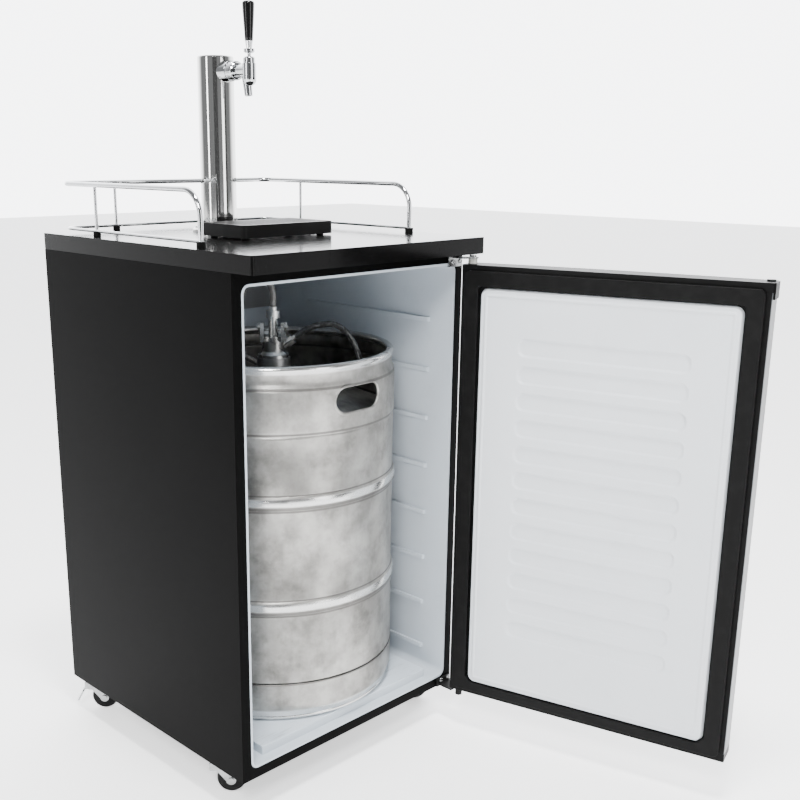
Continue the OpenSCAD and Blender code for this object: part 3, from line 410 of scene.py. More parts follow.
def painted(node, material):
    """Gives a CAD node, whose own shape is right, its finished material."""
    mesh = frame["nodes"][node].data
    mesh.materials.clear()
    mesh.materials.append(material)


def black_enamel():
    material, place = surface("black_enamel")
    peel = place.noise(520, 2, 0.6)
    cloud = place.noise(5, 4)
    wiped = place.stretched((3, 3, 18)).noise(4, 3)
    dust = place.noise(1400, 1).rise(0.66, 0.74) * place.noise(9, 3).rise(0.4, 0.8)
    tone = (cloud * 0.6 + dust * 0.5).blend(grey(0.0007), grey(0.003))
    return coated(material, {"Base Color": tone,
                             "Roughness": 0.26 + 0.1 * wiped + 0.1 * dust,
                             "Specular IOR Level": 0.02}, peel, 0.00006)


def rear_paint():
    material, place = surface("rear_paint")
    cloud = place.noise(12, 4)
    return coated(material, {"Base Color": cloud.blend(grey(0.004), grey(0.009)),
                             "Specular IOR Level": 0.12,
                             "Roughness": 0.42 + 0.12 * place.noise(30, 2)},
                  place.noise(800, 2), 0.00005)


eased_edges("outer_shell", 1.2 * MM, black_enamel())
REAR_PAINT = rear_paint()
eased_edges("rear_panel", 0.8 * MM, REAR_PAINT)
eased_edges("base_pan", 0.6 * MM, REAR_PAINT)

# ---------------------------------------------------------------- liner and insulation
# The inside is one vacuum-formed tub of white ABS with shelf ledges drawn into its side walls.
# Foam fills the space behind it. A coated steel plate on a step carries the keg.
def white_abs(name, low, high):
    """Formed white plastic with a fine orange-peel, faintly grubby in patches, with streaks in its
    sheen.
    """
    material, place = surface(name)
    cloud = place.noise(7, 4)
    grime = place.noise(28, 5, 0.65).rise(0.52, 0.8)
    peel = place.noise(640, 2)
    flow = place.stretched((1, 1, 0.35)).noise(60, 3)
    mixed = cloud * 0.7 + grime * 0.3
    return coated(material, {"Base Color": mixed.blend(high, low),
                             "Roughness": 0.3 + 0.12 * grime + 0.06 * flow},
                  peel * 0.7 + flow * 0.5, 0.00008)


LINER_WHITE = white_abs("liner_white", (0.42, 0.47, 0.52, 1), (0.53, 0.58, 0.63, 1))
eased_edges("inner_liner", 1.8 * MM, LINER_WHITE, segments=4)


def foam_skin():
    material, place = surface("foam_skin")
    cells = place.noise(260, 4, 0.7)
    return coated(material, {"Base Color": cells.blend((0.55, 0.46, 0.26, 1), (0.78, 0.7, 0.46, 1)),
                             "Roughness": 0.85}, cells, 0.0006)


FOAM = foam_skin()
painted("cabinet_foam", FOAM)


def plate_enamel():
    material, place = surface("plate_enamel")
    scrape = place.stretched((8, 90, 8), (0.008, -0.04, 0)).noise(3, 4, 0.6).rise(0.56, 0.7)
    rub = place.noise(14, 4).rise(0.45, 0.7)
    return coated(material, {"Base Color": (scrape * 0.5 + rub * 0.3).blend((0.55, 0.61, 0.67, 1),
                                                                            (0.3, 0.34, 0.38, 1)),
                             "Roughness": 0.28 + 0.2 * rub}, scrape, 0.00006)


eased_edges("keg_floor_plate", 0.8 * MM, plate_enamel())

# ---------------------------------------------------------------- cooling
# A flat aluminium evaporator hangs on pads at the top of the rear wall. The thermostat sits in a
# small housing on the left wall. The compressor stands in the bay low down at the back, under a
# wire-on-tube condenser: steel tube bent to and fro, with straight wires welded across it.
def brushed(name, low, high, rough, across=(2, 2, 160), metal=1.0, depth=0.00003):
    """Metal with fine lines drawn one way, and a few duller patches."""
    material, place = surface(name)
    lines = place.stretched(across).noise(9, 4, 0.65)
    patch = place.noise(16, 3)
    return coated(material, {"Base Color": (lines * 0.6 + patch * 0.4).blend(low, high),
                             "Metallic": metal, "Roughness": rough + 0.14 * patch}, lines, depth)


def dull_plastic(name, low, high, rough=0.45, grain=900, shine=0.3):
    """Moulded plastic with a fine spark-eroded grain."""
    material, place = surface(name)
    texture = place.noise(grain, 3, 0.6)
    cloud = place.noise(25, 3)
    return coated(material, {"Base Color": cloud.blend(low, high), "Specular IOR Level": shine,
                             "Roughness": rough + 0.12 * texture}, texture, 0.00007)


eased_edges("evaporator_plate", 0.6 * MM,
            brushed("evaporator_aluminium", grey(0.3), grey(0.45), 0.34))
HOUSING = dull_plastic("housing_plastic", (0.7, 0.73, 0.76, 1), (0.8, 0.82, 0.84, 1))
eased_edges("thermostat_housing", 2.5 * MM, HOUSING, segments=4)
eased_edges("thermostat_knob", 0.9 * MM, HOUSING)


def compressor_paint():
    material, place = surface("compressor_paint")
    runs = place.stretched((40, 40, 8)).noise(3, 4)
    return coated(material, {"Base Color": runs.blend(grey(0.008), grey(0.02)),
                             "Roughness": 0.24 + 0.2 * place.noise(30, 3)}, place.noise(300, 2),
                  0.0001)


COMPRESSOR_BLACK = compressor_paint()
eased_edges("compressor", 1.2 * MM, COMPRESSOR_BLACK)


def geometry_tree(name, inputs):
    """An empty Geometry Nodes tree with the named number inputs, and its two end nodes."""
    tree = bpy.data.node_groups.new(name, "GeometryNodeTree")
    tree.interface.new_socket("Geometry", in_out="INPUT", socket_type="NodeSocketGeometry")
    tree.interface.new_socket("Geometry", in_out="OUTPUT", socket_type="NodeSocketGeometry")
    for title, kind in inputs:
        tree.interface.new_socket(title, in_out="INPUT", socket_type=kind)
    return tree, tree.nodes.new("NodeGroupInput"), tree.nodes.new("NodeGroupOutput")


def grown(name, tree, values, mesh=None):
    """The mesh that a Geometry Nodes tree makes, with its inputs set by their identifiers."""
    made = add_object(name, mesh or bpy.data.meshes.new(name))
    modifier = made.modifiers.new("build", "NODES")
    modifier.node_group = tree
    for socket in tree.interface.items_tree:
        if socket.in_out == "INPUT" and socket.name in values:
            modifier[socket.identifier] = values[socket.name]
    return baked(made)


def link(tree, one, out, other, into):
    tree.links.new(one.outputs[out], other.inputs[into])


def wire_screen_tree():
    """Upright round wires in a row, evenly spaced along X."""
    tree, given, result = geometry_tree("wire_screen", [
        ("Wires", "NodeSocketInt"), ("First", "NodeSocketVector"), ("Last", "NodeSocketVector"),
        ("Length", "NodeSocketFloat"), ("Wire Radius", "NodeSocketFloat"),
        ("Material", "NodeSocketMaterial")])
    row = tree.nodes.new("GeometryNodeMeshLine")
    row.mode = "END_POINTS"
    link(tree, given, "Wires", row, "Count")
    link(tree, given, "First", row, "Start Location")
    link(tree, given, "Last", row, "Offset")
    wire = tree.nodes.new("GeometryNodeMeshCylinder")
    wire.inputs["Vertices"].default_value = 10
    link(tree, given, "Length", wire, "Depth")
    link(tree, given, "Wire Radius", wire, "Radius")
    spread = tree.nodes.new("GeometryNodeInstanceOnPoints")
    link(tree, row, "Mesh", spread, "Points")
    link(tree, wire, "Mesh", spread, "Instance")
    real = tree.nodes.new("GeometryNodeRealizeInstances")
    link(tree, spread, "Instances", real, "Geometry")
    finish = tree.nodes.new("GeometryNodeSetMaterial")
    link(tree, real, "Geometry", finish, "Geometry")
    link(tree, given, "Material", finish, "Material")
    link(tree, finish, "Geometry", result, "Geometry")
    return tree


CONDENSER_RUNS = 9
CONDENSER_WIRES = 31
CONDENSER_TUBE = 5 * MM
CONDENSER_WIRE = 1.8 * MM
coil_low, coil_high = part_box("condenser_coil")
coil_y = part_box("rear_panel")[1].y + 22 * MM
coil_first = coil_low.z + 15 * MM
coil_pitch = (coil_high.z - coil_low.z - 30 * MM) / (CONDENSER_RUNS - 1)
coil_half = coil_high.x - coil_pitch / 2 - CONDENSER_TUBE / 2 - 0.4 * MM
serpentine = []
for run in range(CONDENSER_RUNS):
    side = 1 if run % 2 == 0 else -1
    height = coil_first + run * coil_pitch
    serpentine += [Vector((-side * coil_half, coil_y, height)),
                   Vector((side * coil_half, coil_y, height))]
    if run < CONDENSER_RUNS - 1:
        serpentine += [Vector((side * (coil_half + coil_pitch / 2 * math.sin(a)), coil_y,
                               height + coil_pitch / 2 * (1 - math.cos(a))))
                       for a in np.arange(1, 12) * math.pi / 12]
coil_shape = swept(serpentine, CONDENSER_TUBE / 2, 16)
wire_tree = wire_screen_tree()
for side in (-1, 1):
    wire_y = coil_y + side * (CONDENSER_TUBE + CONDENSER_WIRE) / 2 * 0.97
    coil_shape.from_mesh(grown(f"wires_{side + 1}", wire_tree, {
        "Wires": CONDENSER_WIRES, "Length": coil_high.z - coil_low.z,
        "Wire Radius": CONDENSER_WIRE / 2,
        "First": (8 * MM - coil_half, wire_y, (coil_low.z + coil_high.z) / 2),
        "Last": (coil_half - 8 * MM, wire_y, (coil_low.z + coil_high.z) / 2),
        "Material": COMPRESSOR_BLACK}))
CLIP_W = 12 * MM
rear_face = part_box("rear_panel")[1].y
for x in (-130 * MM, 130 * MM):
    for z in (coil_first + coil_pitch, coil_first + 6 * coil_pitch):
        clip = bmesh.ops.create_cube(coil_shape, size=1)["verts"]
        bmesh.ops.scale(coil_shape, vec=(CLIP_W, coil_y - rear_face, 9 * MM), verts=clip)
        bmesh.ops.translate(coil_shape, vec=(x, (coil_y + rear_face) / 2, z), verts=clip)
piece("condenser", coil_shape, COMPRESSOR_BLACK, ["condenser_coil"])
BLACK_PLASTIC = dull_plastic("black_plastic", grey(0.003), grey(0.008), 0.34, shine=0.12)
eased_edges("power_inlet", 0.5 * MM, BLACK_PLASTIC)


def turned_brass():
    material, place = surface("turned_brass")
    rings = place.stretched((1, 900, 1)).noise(3, 2)
    tarnish = place.noise(120, 4).rise(0.45, 0.75)
    tone = tarnish.blend((0.8, 0.58, 0.25, 1), (0.42, 0.28, 0.12, 1))
    return coated(material, {"Base Color": tone, "Metallic": 1.0,
                             "Roughness": 0.22 + 0.25 * tarnish}, rings, 0.00002)


BRASS = turned_brass()
eased_edges("gas_bulkhead", 0.5 * MM, BRASS)
painted("faucet_shaft", BRASS)

# ---------------------------------------------------------------- worktop
# A thick moulded top in glossy black that overhangs the door, with a rounded front edge. It
# shows wiping marks, hairline scratches round the tray and a little dust.
def gloss_black():
    material, place = surface("gloss_black")
    wipe = place.stretched((4, 22, 4)).noise(5, 4, 0.6)
    hairline = place.stretched((14, 420, 14)).noise(2.5, 2, 0.7).rise(0.64, 0.72)
    dust = place.noise(1100, 1).rise(0.68, 0.76) * place.noise(6, 3).rise(0.35, 0.7)
    return coated(material, {"Base Color": (dust * 0.8).blend(grey(0.0015), grey(0.03)),
                             "Roughness": 0.11 + 0.07 * wipe + 0.12 * dust + 0.08 * hairline,
                             "Specular IOR Level": 0.08},
                  hairline * 0.4 + place.noise(14, 2) * 2.0, 0.00006)


eased_edges("worktop", 5 * MM, gloss_black(), segments=6)

# ---------------------------------------------------------------- guard rail
# A low fence of chromed steel round the back and sides: a fat upper tube bent down to the two
# front feet, a thin rod under it, and thin posts. It stands on rubber feet.
def chrome(name, tint=0.0, rough=0.05):
    """Bright chrome plate with drying marks and faint polishing lines."""
    material, place = surface(name)
    marks = place.noise(90, 5, 0.7).rise(0.5, 0.8)
    lines = place.stretched((30, 30, 500)).noise(2, 3)
    return coated(material, {"Base Color": marks.blend((0.6, 0.61, 0.62, 1), (0.42, 0.43, 0.44, 1)),
                             "Metallic": 1.0, "Roughness": rough + 0.12 * marks + 0.03 * lines},
                  lines, 0.000008)


def black_rubber():
    material, place = surface("black_rubber")
    bloom = place.noise(60, 4).rise(0.4, 0.8)
    return coated(material, {"Base Color": bloom.blend(grey(0.002), grey(0.005)),
                             "Roughness": 0.5 + 0.15 * bloom, "Specular IOR Level": 0.1},
                  place.noise(1500, 2), 0.00006)


RAIL_TUBE = 8 * MM
RAIL_ROD = 5 * MM
RAIL_BEND = 38 * MM
RAIL_CORNER = 22 * MM
ARC_STEPS = 12
rail_low, rail_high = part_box("guard_rail")
rail_x = rail_high.x - RAIL_TUBE / 2
rail_back = rail_high.y - RAIL_TUBE / 2
rail_front = rail_low.y + RAIL_TUBE / 2
rail_z = rail_high.z - RAIL_TUBE / 2
top_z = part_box("worktop")[1].z
rod_z = top_z + 8 * MM


def corner(centre, radius, start, axis_one, axis_two):
    """Points round a quarter bend, from axis_one towards axis_two."""
    return [centre + radius * (math.cos(a) * axis_one + math.sin(a) * axis_two)
            for a in start + np.arange(ARC_STEPS + 1) * math.pi / 2 / ARC_STEPS]


def rail_line(height, dropped):
    """The rail's line from its left front end round the back to its right front end."""
    half = []
    if dropped:
        half.append(Vector((rail_x, rail_front, top_z + 4 * MM)))
        half += corner(Vector((rail_x, rail_front + RAIL_BEND, height - RAIL_BEND)), RAIL_BEND, 0,
                       Vector((0, -1, 0)), Vector((0, 0, 1)))
    else:
        half.append(Vector((rail_x, rail_front, height)))
    half += corner(Vector((rail_x - RAIL_CORNER, rail_back - RAIL_CORNER, height)), RAIL_CORNER, 0,
                   Vector((1, 0, 0)), Vector((0, 1, 0)))
    return half + [Vector((-p.x, p.y, p.z)) for p in half[::-1]]


POST_Y = 124 * MM
POST_X = 118 * MM
rail_shape = swept(rail_line(rail_z, True), RAIL_TUBE / 2, 28)
parts = [swept(rail_line(rod_z, False), RAIL_ROD / 2, 20)]
for x, y in ((rail_x, POST_Y), (-rail_x, POST_Y), (POST_X, rail_back), (-POST_X, rail_back)):
    parts.append(swept([Vector((x, y, rod_z)), Vector((x, y, rail_z))], RAIL_ROD / 2, 20))


def joined(first, others):
    """One bmesh from several."""
    for other in others:
        mesh = bpy.data.meshes.new("joined")
        other.to_mesh(mesh)
        other.free()
        first.from_mesh(mesh)
        bpy.data.meshes.remove(mesh)
    return first


CHROME = chrome("rail_chrome")
piece("rail", joined(rail_shape, parts), CHROME, ["guard_rail"])
RUBBER = black_rubber()
eased_edges("rail_feet", 0.8 * MM, RUBBER)

# ---------------------------------------------------------------- drip tray
# A shallow black tray on four feet, with a lift-out slotted grid that drains the drips.
TRAY_BLACK = dull_plastic("tray_black", grey(0.002), grey(0.006), 0.32, 600, 0.14)
eased_edges("drip_tray", 1.2 * MM, TRAY_BLACK)
eased_edges("drip_grid", 0.5 * MM, TRAY_BLACK)

# ---------------------------------------------------------------- tap tower
# A polished stainless column on a screwed-down flange, closed by a cap with a rounded edge.
# The brushing has been polished nearly away, so it mirrors the room in long upright bands.
def polished_column():
    material, place = surface("polished_column")
    lines = place.stretched((260, 260, 3), (0, 0.088, 0)).noise(3, 3)
    prints = place.noise(26, 5, 0.7).rise(0.55, 0.85)
    return coated(material, {"Base Color": lines.blend((0.46, 0.46, 0.45, 1), (0.6, 0.6, 0.59, 1)),
                             "Metallic": 1.0, "Roughness": 0.05 + 0.03 * lines + 0.08 * prints},
                  lines, 0.000012)


COLUMN_STEEL = polished_column()
painted("tower_column", COLUMN_STEEL)
painted("tower_cap", COLUMN_STEEL)
eased_edges("tower_flange", 0.8 * MM, COLUMN_STEEL)


def lathe(profile, steps=96, centre=(0, 0, 0), axis="Z", closed=False):
    """A shape turned from (radius, height) points round an axis, as a bmesh."""
    made = bmesh.new()
    rings = []
    for radius, height in profile:
        turns = [0.0] if radius < 1e-7 else np.arange(steps) * 2 * math.pi / steps
        ring = []
        for a in turns:
            x, y = radius * math.cos(a), radius * math.sin(a)
            spot = (x, y, height) if axis == "Z" else (x, height, -y)
            ring.append(made.verts.new(Vector(spot) + Vector(centre)))
        rings.append(ring)
    pairs = list(zip(rings, rings[1:])) + ([(rings[-1], rings[0])] if closed else [])
    for one, two in pairs:
        for k in range(max(len(one), len(two))):
            n = (k + 1) % max(len(one), len(two))
            spots = [one[k % len(one)], one[n % len(one)], two[n % len(two)], two[k % len(two)]]
            made.faces.new(list(dict.fromkeys(spots)))
    bmesh.ops.recalc_face_normals(made, faces=made.faces)
    return made


def arc(r, z, radius, first, last, steps=8):
    """Points of a profile round a bend, angles in degrees."""
    return [(r + radius * math.cos(a), z + radius * math.sin(a))
            for a in np.radians(np.linspace(first, last, steps + 1))]


# ---------------------------------------------------------------- tap
# A chromed brass tap: a shank through the column held by a collar and a nut, the tap body with
# its tilted spout, and a lever in a ball seat under a bonnet. A black phenolic handle screws on.
TAP_CHROME = chrome("tap_chrome", rough=0.045)
for part in ("faucet_shank", "shank_clamp"):
    painted(part, TAP_CHROME)
for part in ("faucet_body", "faucet_bonnet", "faucet_lever"):
    eased_edges(part, 0.5 * MM, TAP_CHROME)
NUT_SLOTS = 3
nut_low, nut_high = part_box("coupling_nut")
nut_r = (nut_high.x - nut_low.x) / 2
nut_mid = Vector((0, 0, (nut_low.z + nut_high.z) / 2))
nut_in = 9 * MM
nut_bore = 11 * MM
nut_front, nut_back = nut_low.y, nut_high.y
nut_profile = [(nut_in, nut_front), (nut_r - 3 * MM, nut_front)]
nut_profile += arc(nut_r - 1.2 * MM, nut_front + 2.4 * MM, 1.2 * MM, -110, 0, 5)
for groove in range(NUT_SLOTS):
    y = nut_front + (5 + 3 * groove) * MM
    nut_profile += [(nut_r, y), (nut_r - 0.5 * MM, y + 0.4 * MM), (nut_r - 0.5 * MM, y + 0.9 * MM),
                    (nut_r, y + 1.3 * MM)]
nut_profile += arc(nut_r - 0.8 * MM, nut_back - 0.8 * MM, 0.8 * MM, 0, 90, 4)
nut_profile += [(nut_bore, nut_back), (nut_bore, nut_front + 3 * MM), (nut_in, nut_front + 3 * MM)]
piece("collar_nut", lathe(nut_profile, 72, nut_mid, "Y", True), TAP_CHROME, ["coupling_nut"])


def phenolic():
    material, place = surface("black_phenolic")
    haze = place.noise(60, 4)
    return coated(material, {"Base Color": haze.blend(grey(0.0015), grey(0.004)),
                             "Roughness": 0.07 + 0.08 * haze, "Specular IOR Level": 0.3},
                  place.noise(160, 2), 0.00003)


handle_low, handle_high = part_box("tap_handle")
handle_r = (handle_high.x - handle_low.x) / 2
handle_l = handle_high.z - handle_low.z
HANDLE_FOOT_R = 6.6 * MM
FERRULE_BORE = 3 * MM
handle_profile = [(FERRULE_BORE, 20 * MM), (FERRULE_BORE, 0)]
handle_profile += arc(HANDLE_FOOT_R - 0.8 * MM, 0.8 * MM, 0.8 * MM, -90, -8, 4)
for share in np.linspace(0.1, 0.9, 14):
    flare = share + 0.12 * math.sin(math.pi * share) * (share - 0.35)
    handle_profile.append((HANDLE_FOOT_R + (handle_r - HANDLE_FOOT_R) * min(flare, 1.0),
                           share * (handle_l - 4 * MM)))
handle_profile += arc(handle_r - 4 * MM, handle_l - 4 * MM, 4 * MM, 4, 90, 9) + [(0, handle_l)]
handle_profile = [(0, 20 * MM)] + handle_profile
piece("handle_grip", lathe(handle_profile, 64, Vector((0, 0, handle_low.z))), phenolic(),
      ["tap_handle"], sharp=50)

# ---------------------------------------------------------------- hinges and screws
# Folded steel brackets screwed to the cabinet's front edge carry a pin above and below the
# door: zinc plated at the top, painted black at the bottom. Cross-head screws hold them.
def zinc(name="zinc_plate"):
    material, place = surface(name)
    spangle = place.noise(110, 4, 0.7)
    stain = place.noise(40, 4).rise(0.5, 0.8)
    return coated(material, {"Base Color": (spangle * 0.5 + stain * 0.5).blend(
        (0.4, 0.41, 0.41, 1), (0.2, 0.2, 0.2, 1)), "Metallic": 1.0,
        "Roughness": 0.26 + 0.22 * stain}, spangle, 0.00002)


ZINC = zinc()
eased_edges("upper_hinge", 0.5 * MM, ZINC)
eased_edges("lower_hinge", 0.5 * MM, REAR_PAINT)


def screw_tree():
    """One cross-head screw at each point, turned to the point's direction."""
    tree, given, result = geometry_tree("screws", [
        ("Head", "NodeSocketObject"), ("Seed", "NodeSocketInt"),
        ("Material", "NodeSocketMaterial")])
    info = tree.nodes.new("GeometryNodeObjectInfo")
    link(tree, given, "Head", info, "Object")
    facing = tree.nodes.new("GeometryNodeInputNamedAttribute")
    facing.data_type = "FLOAT_VECTOR"
    facing.inputs["Name"].default_value = "facing"
    aim = tree.nodes.new("FunctionNodeAlignRotationToVector")
    link(tree, facing, "Attribute", aim, "Vector")
    twist = tree.nodes.new("FunctionNodeRandomValue")
    twist.data_type = "FLOAT"
    twist.inputs[3].default_value = math.pi
    link(tree, given, "Seed", twist, "Seed")
    spin = tree.nodes.new("FunctionNodeAxisAngleToRotation")
    link(tree, twist, 1, spin, "Angle")
    turn = tree.nodes.new("FunctionNodeRotateRotation")
    turn.rotation_space = "LOCAL"
    link(tree, aim, "Rotation", turn, "Rotation")
    link(tree, spin, "Rotation", turn, "Rotate By")
    place = tree.nodes.new("GeometryNodeInstanceOnPoints")
    link(tree, given, "Geometry", place, "Points")
    link(tree, info, "Geometry", place, "Instance")
    link(tree, turn, "Rotation", place, "Rotation")
    real = tree.nodes.new("GeometryNodeRealizeInstances")
    link(tree, place, "Instances", real, "Geometry")
    finish = tree.nodes.new("GeometryNodeSetMaterial")
    link(tree, real, "Geometry", finish, "Geometry")
    link(tree, given, "Material", finish, "Material")
    link(tree, finish, "Geometry", result, "Geometry")
    return tree


def screw_head(radius, height, shank_r, shank_l):
    """A pan head with a cross recess, on its shank, pointing along +Z."""
    profile = [(0, -shank_l), (shank_r, -shank_l), (shank_r, 0), (radius, 0),
               (radius, height * 0.4)]
    profile += [(radius * math.cos(a), height * (0.4 + 0.6 * math.sin(a)))
                for a in np.radians((20, 40, 60, 78))] + [(0, height)]
    shape = lathe(profile, 24)
    for spot in shape.verts:
        flat = math.hypot(spot.co.x, spot.co.y)
        if spot.co.z > height * 0.9 and flat < radius * 0.5:
            spot.co.z -= height * 0.35
    mesh = bpy.data.meshes.new("screw_head")
    shape.to_mesh(mesh)
    shape.free()
    mesh.shade_smooth()
    mesh.set_sharp_from_angle(angle=math.radians(35))
    return add_object("screw_head", mesh)


def screws_at(name, spots, head, nodes, body):
    """Screws at (place, direction) spots, as one piece."""
    cloud = bpy.data.meshes.new(name + "_spots")
    cloud.from_pydata([tuple(place) for place, facing in spots], [], [])
    facing = cloud.attributes.new("facing", "FLOAT_VECTOR", "POINT")
    facing.data.foreach_set("vector", np.array([f for _, f in spots], np.float32).ravel())
    mesh = grown(name, screw_tree(), {"Head": head, "Seed": 7, "Material": ZINC}, cloud)
    bpy.data.objects.remove(head)
    return piece(name, mesh, ZINC, nodes, body=body)


SCREW_SPACING = 18 * MM
FLANGE_SCREW_RING = 38 * MM
upper_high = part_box("upper_hinge")[1]
hinge_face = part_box("outer_shell")[0].y - 3 * MM
flange_low, flange_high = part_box("tower_flange")
tower_y = (flange_low.y + flange_high.y) / 2
spots = []
door_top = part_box("door_skin")[1].z + 14 * MM
cabinet_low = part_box("outer_shell")[0].z
for x in (-SCREW_SPACING, 0.0):
    for z in (door_top + 1 * MM, cabinet_low + 11 * MM):
        spots.append((Vector((upper_high.x - 8 * MM + x, hinge_face, z)), (0, -1, 0)))
for quarter in range(4):
    a = math.radians(45 + 90 * quarter)
    spots.append((Vector((FLANGE_SCREW_RING * math.cos(a),
                          tower_y + FLANGE_SCREW_RING * math.sin(a), top_z + 6 * MM)),
                  (0, 0, 1)))
screws_at("bracket_and_flange_screws", spots, screw_head(3.9 * MM, 2.3 * MM, 2 * MM, 3 * MM),
          ["screws"], "cabinet")

# ---------------------------------------------------------------- door
# A bowed sheet-steel skin between two moulded end caps, foamed inside, with a black frame
# sheet behind and a formed white panel with pressed-in slots. A magnetic gasket runs round it.
def door_grey():
    """Grey satin paint, cooler and smoother than the cabinet's."""
    material, place = surface("door_grey")
    peel = place.noise(480, 2)
    cloud = place.noise(4, 3)
    tone = cloud.blend((0.07, 0.075, 0.08, 1), (0.1, 0.105, 0.11, 1))
    return coated(material, {"Base Color": tone, "Metallic": 0.4,
                             "Roughness": 0.3 + 0.08 * place.noise(12, 3)}, peel, 0.00005)


eased_edges("door_skin", 0.6 * MM, door_grey())
painted("door_foam", FOAM)
FRAME_BLACK = dull_plastic("frame_black", grey(0.0015), grey(0.005), 0.36, 500, 0.08)
eased_edges("door_frame", 0.5 * MM, FRAME_BLACK)
eased_edges("door_end_caps", 1.6 * MM, FRAME_BLACK, segments=4)
PANEL_WHITE = white_abs("panel_white", (0.58, 0.61, 0.64, 1), (0.66, 0.69, 0.72, 1))
DOOR_OPEN = math.radians(105)
DOOR_PIN = Vector((231.5 * MM, -281 * MM, 0))
PANEL_FACE = -252 * MM
PANEL_BACK = -259 * MM
PANEL_HALF_W = 204 * MM
PANEL_CORNER = 14 * MM
PANEL_FALL = 5 * MM
panel_low, panel_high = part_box("door_liner")
panel_mid = (panel_low.z + panel_high.z) / 2
panel_half_h = (panel_high.z - panel_low.z) / 2
GROOVE_PITCH = 44.2 * MM
GROOVE_TALL = 27 * MM
GROOVE_HALF_L = 135 * MM
GROOVE_DEPTH = 2.6 * MM
GROOVE_SLOPE = 5 * MM
GROOVE_COUNT = 12
FIRST_GROOVE = 688 * MM
FIELD_TOP = 764 * MM
BORDER_IN = 11 * MM
BORDER_HALF = 3.2 * MM
BORDER_RISE = 1.2 * MM


def eased_step(value):
    """0 below 0, 1 above 1, smooth in between."""
    value = min(max(value, 0.0), 1.0)
    return value * value * (3 - 2 * value)


def rounded_gap(x, z, half_w, half_h, radius):
    """How far a point lies outside a rounded rectangle. It is negative inside."""
    over_x, over_z = abs(x) - half_w + radius, abs(z) - half_h + radius
    return math.hypot(max(over_x, 0), max(over_z, 0)) + min(max(over_x, over_z), 0) - radius


def panel_height(x, z):
    """The panel's face at a point: pressed slots in a shallow field, inside a raised border."""
    edge = -rounded_gap(x, z - panel_mid, PANEL_HALF_W, panel_half_h, PANEL_CORNER)
    height = PANEL_FACE - PANEL_FALL * (1 - eased_step(edge / (4 * MM))) ** 2
    height += BORDER_RISE * eased_step(1.4 * (1 - abs(edge - BORDER_IN) / BORDER_HALF))
    inside = eased_step((edge - 30 * MM) / (40 * MM))
    height -= 1.2 * MM * eased_step((FIELD_TOP - z) / (6 * MM)) * inside
    for rib in range(GROOVE_COUNT):
        middle = FIRST_GROOVE - rib * GROOVE_PITCH + GROOVE_TALL / 2
        if abs(z - middle) < GROOVE_TALL:
            gap = rounded_gap(x, z - middle, GROOVE_HALF_L, GROOVE_TALL / 2, 12 * MM)
            height -= GROOVE_DEPTH * eased_step(0.5 - gap / GROOVE_SLOPE)
    return height


def grid_lines(ends, fine):
    """Grid lines between two ends, closer together near the given places."""
    lines = {round(v, 6) for v in np.linspace(ends[0], ends[1], 24)}
    for place, reach, count in fine:
        lines |= {round(v, 6) for v in np.linspace(place - reach, place + reach, count)
                  if ends[0] <= v <= ends[1]}
    kept = []
    for v in sorted(lines):
        if not kept or v - kept[-1] > 0.3 * MM:
            kept.append(v)
    kept[-1] = ends[1]
    return kept


def door_panel():
    """The door's formed inner panel, made shut and then turned open on the hinge pin."""
    edges = [(side * (PANEL_HALF_W - 9 * MM), 9 * MM, 19) for side in (-1, 1)]
    ends = [(side * (GROOVE_HALF_L - 4 * MM), 9 * MM, 13) for side in (-1, 1)]
    columns = grid_lines((-PANEL_HALF_W, PANEL_HALF_W), edges + ends)
    rows = [(panel_mid + side * (panel_half_h - 9 * MM), 9 * MM, 19) for side in (-1, 1)]
    rows.append((FIELD_TOP - 3 * MM, 4 * MM, 9))
    for rib in range(GROOVE_COUNT):
        base = FIRST_GROOVE - rib * GROOVE_PITCH
        rows += [(base, GROOVE_SLOPE * 0.7, 9), (base + GROOVE_TALL, GROOVE_SLOPE * 0.7, 9)]
        rows.append((base + GROOVE_TALL / 2, GROOVE_TALL / 3, 5))
    rows = grid_lines((panel_mid - panel_half_h, panel_mid + panel_half_h), rows)
    made = bmesh.new()
    sheet = []
    for z in rows:
        line = []
        for x in columns:
            over_x = max(abs(x) - PANEL_HALF_W + PANEL_CORNER, 0)
            over_z = max(abs(z - panel_mid) - panel_half_h + PANEL_CORNER, 0)
            pull = max(over_x, over_z) / math.hypot(over_x, over_z) if over_x and over_z else 1.0
            at_x = math.copysign(abs(x) - over_x * (1 - pull), x)
            off_z = z - panel_mid
            at_z = panel_mid + math.copysign(abs(off_z) - over_z * (1 - pull), off_z)
            line.append(made.verts.new((at_x, panel_height(at_x, at_z), at_z)))
        sheet.append(line)
    for low_row, high_row in zip(sheet, sheet[1:]):
        for k in range(len(columns) - 1):
            made.faces.new((low_row[k], low_row[k + 1], high_row[k + 1], high_row[k]))
    rim = [edge for edge in made.edges if edge.is_boundary]
    grown_rim = bmesh.ops.extrude_edge_only(made, edges=rim)["geom"]
    for spot in grown_rim:
        if isinstance(spot, bmesh.types.BMVert):
            spot.co.y = PANEL_BACK
    back_rim = [edge for edge in grown_rim if isinstance(edge, bmesh.types.BMEdge)]
    bmesh.ops.contextual_create(made, geom=back_rim)
    bmesh.ops.rotate(made, verts=made.verts, cent=DOOR_PIN,
                     matrix=Quaternion((0, 0, 1), DOOR_OPEN).to_matrix())
    bmesh.ops.recalc_face_normals(made, faces=made.faces)
    return made


piece("formed_panel", door_panel(), PANEL_WHITE, ["door_liner"])
eased_edges("door_gasket", 2.2 * MM, RUBBER, segments=4)
NYLON = dull_plastic("nylon_bush", (0.72, 0.72, 0.66, 1), (0.82, 0.82, 0.77, 1), 0.35)
painted("door_bushes", NYLON)
